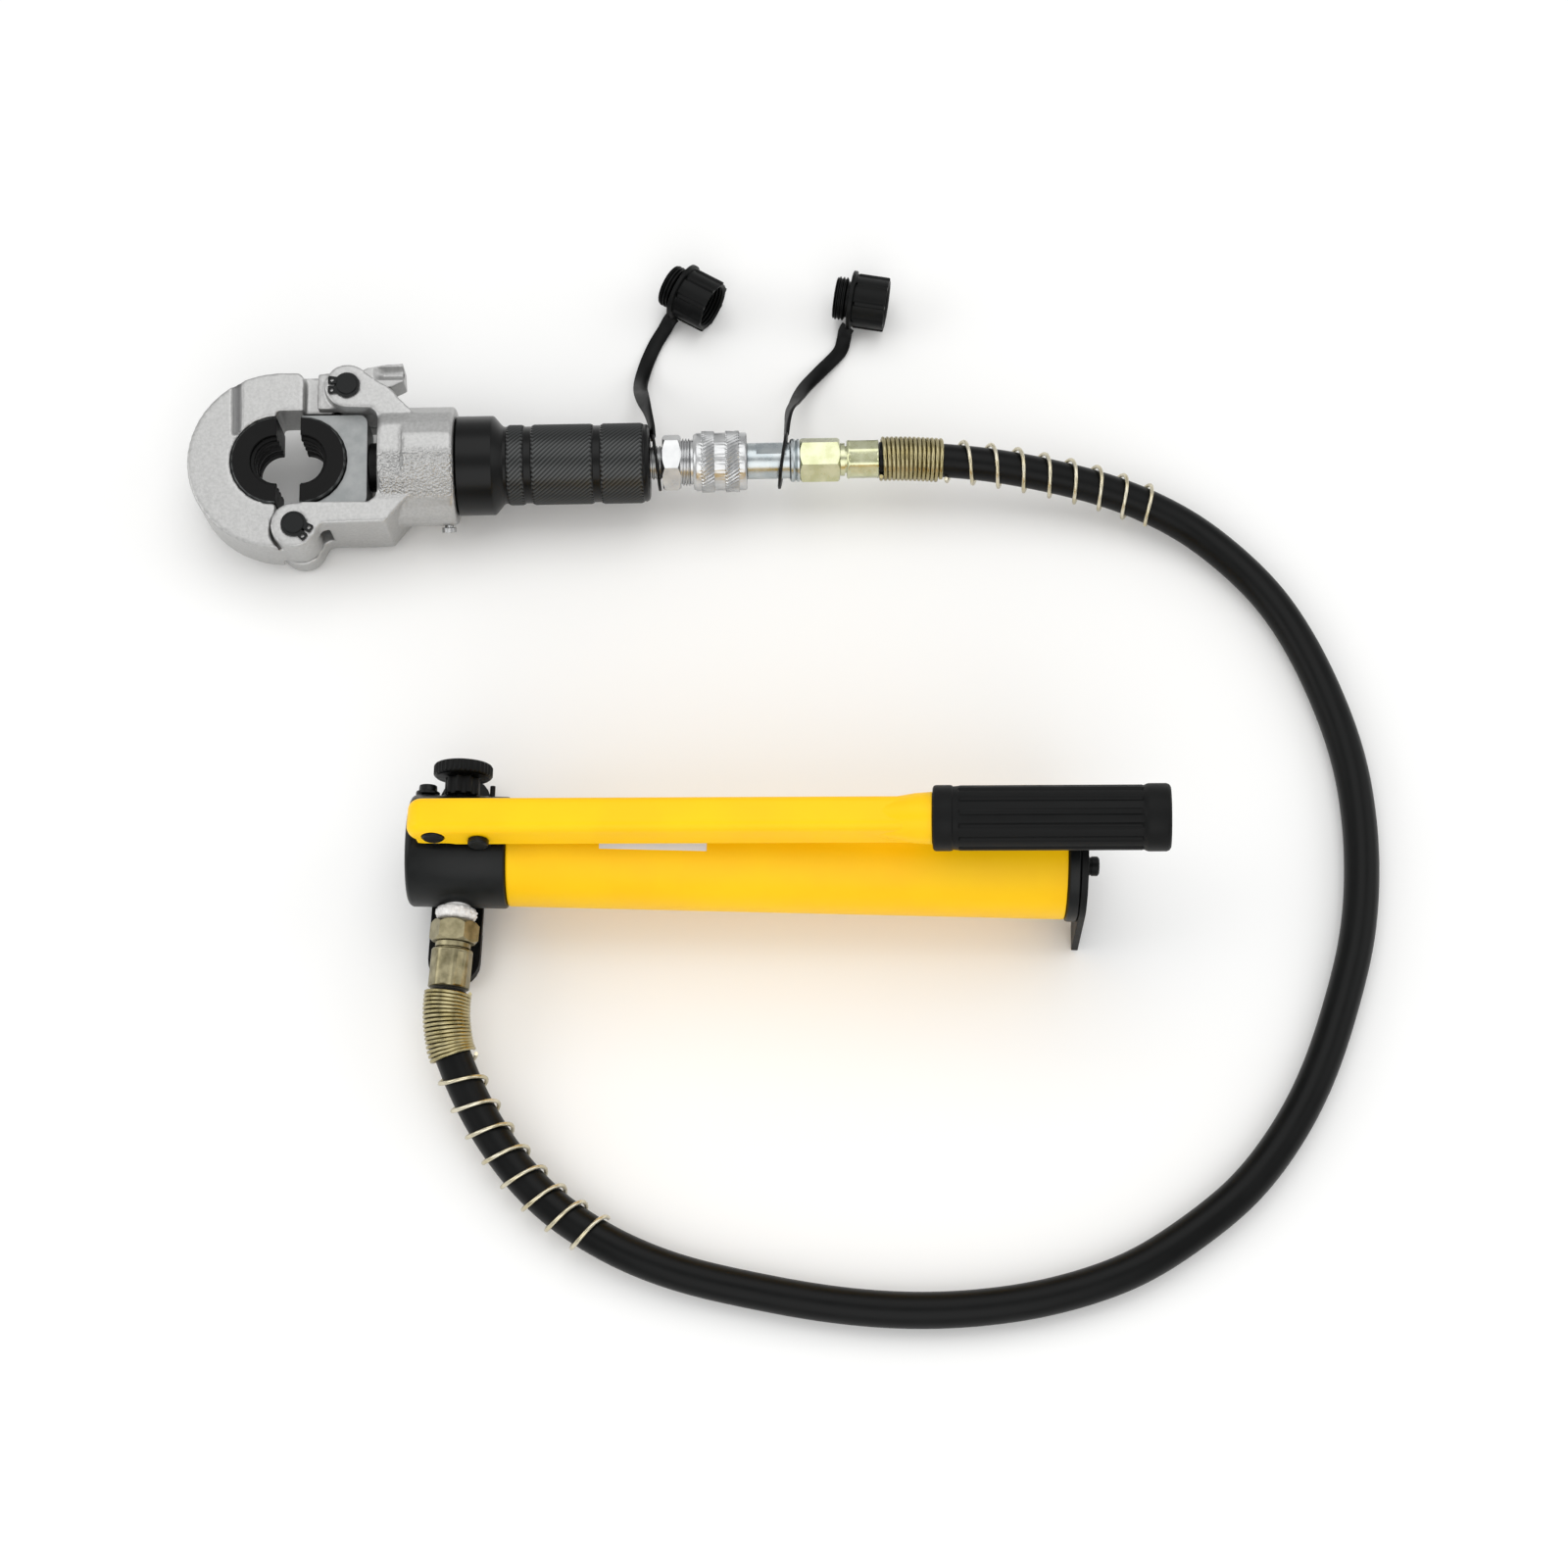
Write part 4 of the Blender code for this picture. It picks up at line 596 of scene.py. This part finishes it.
for pin in ("hinge_pin", "latch_pin"):
    eased(pin, black_oxide, "frame", 0.3)
for name, centre, lugs in (("hinge", HINGE, -35), ("latch", LATCH, 180)):
    rim = arc((0, 0), 5.95, 40, 320, 40) + [(8.2, -4.4), (8.8, -3.6), (8.8, -0.9), (8.2, -0.5), (4.7, -0.5)]
    rim += arc((0, 0), 4.75, -12, -348, 40) + [(4.7, 0.5), (8.2, 0.5), (8.8, 0.9), (8.8, 3.6), (8.2, 4.4)]
    for side, level in (("top", CLIP_LOW), ("bottom", -CLIP_LOW - CLIP_THICK)):
        clip = plate(rim, level, level + CLIP_THICK)
        for across in (-2.5, 2.5):
            eye = turned([(level - 1, 0), (level - 1, 0.95), (level + 3, 0.95), (level + 3, 0)], 20, axis="Z")
            bmesh.ops.translate(eye, verts=eye.verts, vec=(7.0, across, 0))
            clip = cut(clip, eye)
        settle(f"{name}_clip_{side}", clip, HEAD @ Matrix.Translation(centre) @ Matrix.Rotation(
            math.radians(lugs), 4, "Z"), black_oxide, "frame", [f"{name}_circlip_{side}"],
            bevel=0.12)
eased("barrel_set_screw", white_zinc, "frame", 0.2)


# ---- coupler ----------------------------------------------------------------------------
stub = turned([(165.0, 2.5), (165.0, 5.9), (177.4, 5.9), (177.7, 7.4), *ridges(178.0, 183.0, 8.0, 0.7, 1.5),
               (183.1, 7.4), (183.1, 2.5)], 64)
settle("threaded_stub", stub, HEAD, white_zinc, "frame", ["coupler_stub"])
nut = hexagon(24.0, 183.4, 192.0, 4.0, 1.4)
settle("coupler_hex", nut, HEAD, nickel, "frame", ["coupler_body"], bevel=0.35, steps=3)
neck = turned([(191.0, 4.0), (191.0, 10.2), (192.2, 10.2), *ridges(192.4, 196.6, 11.3, 1.1, 1.4),
               (196.8, 10.6), (220.0, 10.6), (220.0, 9.1), (204.0, 9.1), (204.0, 4.0)], 72)
settle("coupler_thread", neck, HEAD, nickel, "frame")

TEETH = 44
SLEEVE_BANDS = ((202.0, 207.8), (213.4, 219.6))
profile = [(198.0, 11.8), (198.0, 12.8), (198.4, 13.2), (199.4, 13.7), (200.2, 13.75)]
for low, high in SLEEVE_BANDS:
    profile += [(low - 0.3, 13.7)] + [(low + (high - low) * i / 8, 14.1) for i in range(9)]
    profile += [(high + 0.3, 13.7)]
profile += [(222.4, 13.7), (223.0, 13.5), (223.4, 13.0), (223.4, 11.0), (204.0, 11.0), (204.0, 11.8)]
sleeve = turned(profile, TEETH * 4)
for vert in sleeve.verts:
    radius = vert.co.yz.length
    for low, high in SLEEVE_BANDS:
        if low - 0.1 < vert.co.x < high + 0.1 and radius > 13.9:
            lean = (vert.co.x - low) * 0.36
            wave = math.sin(TEETH * math.atan2(vert.co.z, vert.co.y) + lean * math.tau)
            vert.co.yz = vert.co.yz * ((13.95 + 0.6 * wave) / radius)
settle("knurled_sleeve", sleeve, HEAD, nickel, "sleeve", ["coupler_sleeve"], sharp=40)

plug = turned([(205.0, 3.0), (205.0, 8.2), (219.4, 8.2), (221.4, 8.6), (227.9, 8.6), (228.0, 8.6),
               (240.0, 8.6), (240.1, 8.6), (243.6, 8.6), (244.0, 9.6), (244.4, 10.2), (245.4, 10.4),
               (246.2, 10.0), (246.6, 9.4), (247.4, 10.2), (248.3, 10.2), (248.3, 6.2), (256.6, 6.2),
               (256.6, 3.0)], 96)
lean = Matrix.Rotation(math.radians(-32), 3, "X")
for vert in plug.verts:
    if 227.95 < vert.co.x < 240.05:
        flat = lean.inverted() @ vert.co
        flat.z = min(flat.z, 7.5)
        vert.co = lean @ flat
settle("plug_body", plug, HEAD, blue_zinc, "frame", ["coupler_plug"])


def ferrule(low, high, neck_r, radius):
    """A crimped hose ferrule along x: a necked collar and eight pressed flats."""
    bm = turned([(low - 5, 3.0), (low - 5, 6.2), (low + 0.3, 6.2), (low + 0.3, neck_r), (low + 2.4, neck_r),
                 (low + 2.5, 6.4), (low + 3.3, 6.4), (low + 3.4, radius - 0.4), (low + 4.0, radius),
                 (low + 4.4, radius), (low + 5.0, radius), (high - 1.2, radius), (high - 0.6, radius),
                 (high - 0.3, radius - 0.3), (high - 0.3, 3.0)], 96)
    for vert in bm.verts:
        size = vert.co.yz.length
        if low + 4.8 < vert.co.x < high - 1.0 and size > radius - 0.1:
            turn = (math.degrees(math.atan2(vert.co.z, vert.co.y)) + 11) % 45 - 22.5
            flat = (radius - 0.55) / math.cos(math.radians(turn))
            vert.co.yz = vert.co.yz * (min(flat, radius) / size)
    return bm


nut = hexagon(19.0, 248.6, 267.5, 6.6, 1.3)
settle("swivel_nut_head", nut, HEAD, yellow_zinc, "frame", ["hose_nut_head"], bevel=0.3)
settle("ferrule_head", ferrule(267.5, 286.3, 7.8, 9.2), HEAD, yellow_zinc, "frame",
       ["hose_ferrule_head"])
nut = hexagon(19.0, 32.0, 41.6, 6.6, 1.8)
settle("swivel_nut_pump", nut, PORT, old_zinc, "frame", ["hose_nut_pump"], bevel=0.35)
settle("ferrule_pump", ferrule(41.6, 62.5, 7.8, 9.2), PORT, old_zinc, "frame",
       ["hose_ferrule_pump"])
wrap = turned([(12.6, 2.5), (12.6, 6.1), (25.4, 6.1), (25.6, 7.4), (26.2, 8.5), (27.0, 8.8), (27.6, 9.2),
               (28.4, 9.0), (29.0, 9.2), (29.8, 8.8), (30.6, 8.3), (31.3, 7.2), (31.4, 2.5)], 96)
for vert in wrap.verts:
    if vert.co.x > 25.5 and vert.co.yz.length > 6.5:
        vert.co.yz = vert.co.yz * (1 + 0.09 * noise.noise(vert.co * 0.8))
settle("thread_tape_wrap", wrap, PORT, tape, "frame", ["thread_tape"], sharp=60)


# ---- dust caps --------------------------------------------------------------------------
STRAP_SAMPLES = 60
STRAP_SECTION = ((3.5, 0.45), (3.25, 0.7), (-3.25, 0.7), (-3.5, 0.45), (-3.5, -0.45), (-3.25, -0.7),
                 (3.25, -0.7), (3.5, -0.45))
FLAT_ACROSS = (1.0, -0.35, 0.0)
# Each strap's centre line from its cap to its ring, with the way its width points.
STRAP_1 = [
    ((2.8, 165.3, 5.6), FLAT_ACROSS), ((0.9, 164.1, 3.8), FLAT_ACROSS), ((-1.7, 159.9, 1.7), FLAT_ACROSS),
    ((-6.0, 151.8, 1.3), FLAT_ACROSS), ((-9.8, 141.3, 1.8), FLAT_ACROSS),
    ((-12.1, 130.3, 4.8), (1.0, -0.2, 0.2)), ((-12.4, 119.3, 13.0), (1.0, -0.2, 0.5)),
    ((-10.9, 108.3, 23.5), (0.8, -0.2, 0.8)), ((-8.1, 97.3, 31.0), (0.5, -0.2, 0.9)),
    ((-5.7, 86.9, 32.6), (0.3, -0.19, 0.95)), ((-4.8, 80.2, 31.8), (0.2, -0.19, 0.97)),
]
STRAP_2 = [
    ((89.2, 159.4, 5.5), FLAT_ACROSS), ((87.8, 157.8, 3.8), FLAT_ACROSS), ((87.0, 154.1, 1.7), FLAT_ACROSS),
    ((84.7, 146.9, 1.4), (1.0, -0.6, 0.0)), ((75.8, 135.1, 3.6), (1.0, -0.8, 0.2)),
    ((67.7, 121.9, 9.5), (1.0, -0.6, 0.5)), ((62.7, 107.3, 19.5), (0.8, -0.3, 0.8)),
    ((60.4, 97.3, 28.5), (0.5, -0.2, 0.9)), ((59.3, 88.7, 32.6), (0.3, -0.19, 0.95)),
    ((58.6, 81.5, 31.8), (0.2, -0.19, 0.97)),
]


def dust_cap(number, at, heading, strap, ring_x, ring_lean, slot_at):
    """A moulded cap with a ribbed cup and threaded plug, and its flat strap."""
    body = f"cap_{number}"
    profile = [(-7.4, 0), (-7.4, 9.6), (-7.0, 10.2), *ridges(-6.8, -1.6, 10.6, 0.9, 1.7), (-1.5, 8.8),
               (-0.2, 8.8), (0.0, 13.8), (0.3, 14.4), (1.9, 14.4), (2.2, 14.0), (2.6, 12.7),
               (3.4, 12.4), (17.6, 12.4), (18.2, 12.2), (18.4, 11.8), (18.2, 11.2),
               *reversed(ridges(9.0, 17.6, 10.9, 0.5, 1.8)), (4.6, 10.8), (4.6, 0)]
    cup = turned(profile, 120)
    for vert in cup.verts:
        size = vert.co.yz.length
        if 3.2 < vert.co.x < 18.3 and size > 12.1:
            turn = (math.degrees(math.atan2(vert.co.z, vert.co.y)) + 9) % 45
            if turn < 7:
                vert.co.yz = vert.co.yz * ((size + 0.95) / size)
    settle(f"moulded_cap_{number}", cup, frame_at(at, (heading, "Z")), nylon, body,
           [f"dust_cap_{number}"], sharp=28)
    route, _ = smooth_route([point for point, _ in strap], STRAP_SAMPLES)
    last = STRAP_SAMPLES - 1
    bm = bmesh.new()
    rings, at_slot = [], None
    for i, centre in enumerate(route):
        share = i / last * (len(strap) - 1)
        j = min(int(share), len(strap) - 2)
        across = Vector(strap[j][1]).lerp(Vector(strap[j + 1][1]), share - j)
        ahead = (route[min(i + 1, last)] - route[max(i - 1, 0)]).normalized()
        across = (across - across.project(ahead)).normalized()
        out = across.cross(ahead)
        rings.append([bm.verts.new(centre + across * a + out * b) for a, b in STRAP_SECTION])
        if i == slot_at:
            at_slot = Matrix((ahead, across, out)).transposed().to_4x4()
            at_slot.translation = centre
    for near, far in zip(rings, rings[1:]):
        for k in range(len(near)):
            bm.faces.new((near[k - 1], near[k], far[k], far[k - 1]))
    bm.faces.new(rings[0])
    bm.faces.new(rings[-1])
    bmesh.ops.recalc_face_normals(bm, faces=bm.faces)
    opening = block((-2.6, -1.1, -4), (2.6, 1.1, 4))
    opening.transform(at_slot)
    settle(f"flat_strap_{number}", cut(bm, opening), FLOOR, nylon, body, [f"dust_strap_{number}"],
           sharp=50)
    ring = turned([(-0.7, 9.4), (-0.7, 13.2), (-0.4, 13.6), (0.4, 13.6), (0.7, 13.2), (0.7, 9.4)], 72)
    lean = HEAD @ Matrix.Translation((ring_x, 0, 0)) @ Matrix.Rotation(math.radians(ring_lean), 4, "Z")
    settle(f"strap_ring_{number}", ring, lean, nylon, body)


dust_cap(1, (6.8, 174.2, 14.6), -30.9, STRAP_1, 180.4, 7, 4)
dust_cap(2, (90.0, 169.2, 14.6), -9.9, STRAP_2, 240.6, -9, 4)


# ---- pump -------------------------------------------------------------------------------
AXIS = Matrix.Translation((0, 0, 38.5))
body_bar = turned([(2.9, 0), (2.9, 23.0), (3.4, 24.0), (4.1, 24.6), (5.1, 25.0), (45.8, 25.0), (46.6, 24.6),
                   (47.0, 23.8), (47.0, 21.6), (52.0, 21.6), (52.0, 19.4), (55.0, 19.4), (55.0, 21.6),
                   (60.0, 21.6), (60.0, 0)], 128)
body_bar = cut(body_bar, block((6, -12, 23.5), (46, 12, 40)))
settle("turned_block", body_bar, PUMP @ AXIS, black_oxide, "frame", ["pump_block"])
shell = turned([(47.3, 22.0), (47.3, 23.4), (47.7, 23.8), (48.4, 24.0), (293.8, 24.0), (294.3, 23.8),
                (294.5, 23.4), (294.5, 22.0)], 128)
settle("reservoir_shell", shell, PUMP @ AXIS, enamel, "frame", ["reservoir_tube"])
foil = turned([(88.4, 24.05), (88.4, 24.17), (135.6, 24.17), (135.6, 24.05)], 40, 42.0)
bmesh.ops.rotate(foil, verts=foil.verts, matrix=Matrix.Rotation(math.radians(-26), 3, "X"))
settle("blank_label", foil, PUMP @ AXIS, label, "frame")
cap = turned([(282.0, 0), (282.0, 21.6), (286.0, 21.6), (286.0, 19.4), (289.0, 19.4), (289.0, 21.6),
              (294.8, 21.6), (294.8, 24.0), (295.2, 24.7), (295.9, 25.0), (299.4, 25.0), (300.0, 24.5),
              (300.0, 3.4), (290.0, 3.4), (290.0, 0)], 128)
settle("turned_end_cap", cap, PUMP @ AXIS, black_oxide, "frame", ["end_cap"])
vent = turned([(290.6, 0), (290.6, 3.0), (303.6, 3.0), (303.6, 4.2), (304.0, 4.4), (305.4, 4.4), (305.6, 4.0),
               (306.2, 4.0), (306.4, 4.4), (309.0, 4.4), (309.8, 3.6), (309.8, 0)], 48)
settle("vent_screw", vent, PUMP @ AXIS, nylon, "frame", ["vent_plug"])
eased("rear_foot", black_paint, "frame", 0.6)
eased("front_foot", black_paint, "frame", 0.9, steps=3)
for part, material, slot in (("foot_screw_1", white_zinc, "white_zinc_plate"),
                             ("foot_screw_2", white_zinc, "white_zinc_plate"),
                             ("gland_nut", die_steel, "dark_steel"),
                             ("knob_stop_peg", die_steel, "dark_steel")):
    eased(part, material, "frame", 0.25)
eased("pivot_post", black_oxide, "frame", 0.5)
eased("plunger", ground, "plunger", 0.5)
eased("fulcrum_pin", black_oxide, "frame", 0.5, steps=3)
eased("plunger_pin", black_oxide, "lever", 0.5, steps=3)
eased("relief_valve_cap", black_oxide, "frame", 0.3)

knob = turned([(33.8, 0), (33.8, 4.2), (25.6, 4.2), (25.6, 7.0), (26.2, 7.4), (33.2, 7.4), (33.4, 8.0),
               (33.8, 12.0), (34.4, 12.8), (35.0, 13.0), (38.8, 13.0), (39.6, 12.7), (40.0, 12.0),
               (40.0, 8.6), (39.2, 8.2), (39.2, 0)], 144)
for vert in knob.verts:
    size = vert.co.yz.length
    turn = math.atan2(vert.co.z, vert.co.y)
    if 34.6 < vert.co.x < 39.2 and size > 12.9:
        vert.co.yz = vert.co.yz * ((size + 0.28 * math.cos(36 * turn)) / size)
    elif 26.0 < vert.co.x < 33.3 and 7.2 < size < 7.6:
        vert.co.yz = vert.co.yz * ((size + 0.55 * math.cos(9 * turn)) / size)
settle("ribbed_knob", knob, VALVE @ Matrix.Translation((0, -24.4, 0)), nylon, "release_knob",
       ["release_knob"], sharp=30)


# ---- lever ------------------------------------------------------------------------------
UPRIGHT_TURN = Matrix.Rotation(math.radians(90), 4, "X")
outline = [(5.0, -6.5), (7.0, -6.9), (9.0, -7.6), (212.0, -7.6), (212.0, 8.5)]
outline += arc((-4.5, 1.5), 7.0, 90, 180, 10) + arc((-4.5, 0.5), 7.0, 188, 270, 10)
channel = plate(outline, -8.2, 8.2)
rims = [e for e in channel.edges if abs(e.verts[0].co.z - e.verts[1].co.z) < 0.1
        and not (e.verts[0].co.y < -5 and e.verts[1].co.y < -5)
        and not (e.verts[0].co.x > 211 and e.verts[1].co.x > 211)]
bmesh.ops.bevel(channel, geom=rims, offset=4.2, offset_type="OFFSET", affect="EDGES", segments=6,
                profile=0.5, material=-1)
hollow = plate([(-9.5, -12), (230.0, -12), (230.0, 6.5), (-4.5, 6.5), (-9.5, 1.5)], -6.2, 6.2)
channel = cut(channel, hollow)
pin_holes = (((0.0, 0.0), 3.6, 5.2), ((19.7, -2.2), 3.6, 3.4))
for (x, y), far, near in pin_holes:
    hole = turned([(-20, 0), (-20, far), (0, far), (0, near), (20, near), (20, 0)], 32, axis="Z")
    bmesh.ops.translate(hole, verts=hole.verts, vec=(x, y, 0))
    channel = cut(channel, hole)
settle("pressed_channel", channel, LEVER @ UPRIGHT_TURN, enamel, "lever", ["lever"],
       sharp=35, bevel=0.35)
flare = turned([(186.0, 0), (186.0, 5.8), (190.0, 7.6), (196.0, 8.5), (204.0, 9.9), (210.0, 10.9),
                (217.2, 11.4), (217.2, 9.0), (316.0, 9.0), (316.0, 0)], 96)
settle("lever_flare", flare, LEVER, enamel, "lever")

FLUTES = 14
sleeve = turned([(316.9, 0), (316.9, 9.3), (217.5, 9.3), (217.5, 13.2), (218.0, 14.0), (218.8, 14.3),
                 (225.0, 14.3), (225.8, 14.1), (226.2, 13.7), (226.8, 13.75), (228.5, 13.9), (229.2, 13.9),
                 (306.0, 13.9), (307.0, 13.9), (308.0, 13.9), (308.8, 14.3), (309.6, 14.6), (310.4, 14.7),
                 (317.6, 14.7), (318.8, 14.2), (319.5, 13.2), (319.5, 0)], 168)
for vert in sleeve.verts:
    size = vert.co.yz.length
    if 228.8 < vert.co.x < 307.4 and size > 13:
        turn = math.atan2(vert.co.z, vert.co.y)
        fade = min(1.0, (vert.co.x - 228.4) / 1.0)
        dip = max(0.0, math.cos(FLUTES * turn)) ** 0.7
        vert.co.yz = vert.co.yz * ((size + 0.25 - 1.15 * dip * fade) / size)
settle("fluted_grip", sleeve, LEVER, grip_rubber, "lever", ["lever_grip"], sharp=28)

# ---- pieces whose CAD shape is already right --------------------------------------------
for node, material in (("piston_seal", nylon), ("block_o_ring", nylon), ("cap_o_ring", nylon),
                       ("ram_return_spring", spring_wire), ("latch_spring", spring_wire),
                       ("suction_tube", white_zinc), ("suction_strainer", olive_wire),
                       ("release_valve_stem", die_steel)):
    nodes[node].data.materials.clear()
    nodes[node].data.materials.append(material)


# ---- studio -----------------------------------------------------------------------------
floor = block((-2500, -2500, -20), (2500, 2500, -0.05))
floor.transform(FLOOR)
mesh = bpy.data.meshes.new("floor")
floor.to_mesh(mesh)
floor.free()
mesh.materials.append(floor_paper)
floor = bpy.data.objects.new("floor", mesh)
bpy.context.scene.collection.objects.link(floor)

world = bpy.data.worlds.new("studio")
world.use_nodes = True
world.node_tree.nodes["Background"].inputs["Color"].default_value = (1, 1, 1, 1)
world.node_tree.nodes["Background"].inputs["Strength"].default_value = 0.66
bpy.context.scene.world = world


def softbox(name, at, size, energy):
    """A square area light aimed at the middle of the tool."""
    light = bpy.data.lights.new(name, "AREA")
    light.size = size
    light.energy = energy
    lamp = bpy.data.objects.new(name, light)
    lamp.location = at
    lamp.rotation_euler = (Vector((0.05, -0.1, 0.02)) - Vector(at)).to_track_quat("-Z", "Y").to_euler()
    bpy.context.scene.collection.objects.link(lamp)


softbox("overhead", (0.1, 0.5, 1.6), 1.4, 8)
softbox("front", (0.1, -1.5, 1.1), 1.6, 11)
softbox("left", (-1.4, -0.1, 0.9), 1.0, 5)
softbox("right", (1.4, 0.2, 0.8), 1.0, 3)
bpy.context.scene.view_settings.view_transform = "Standard"
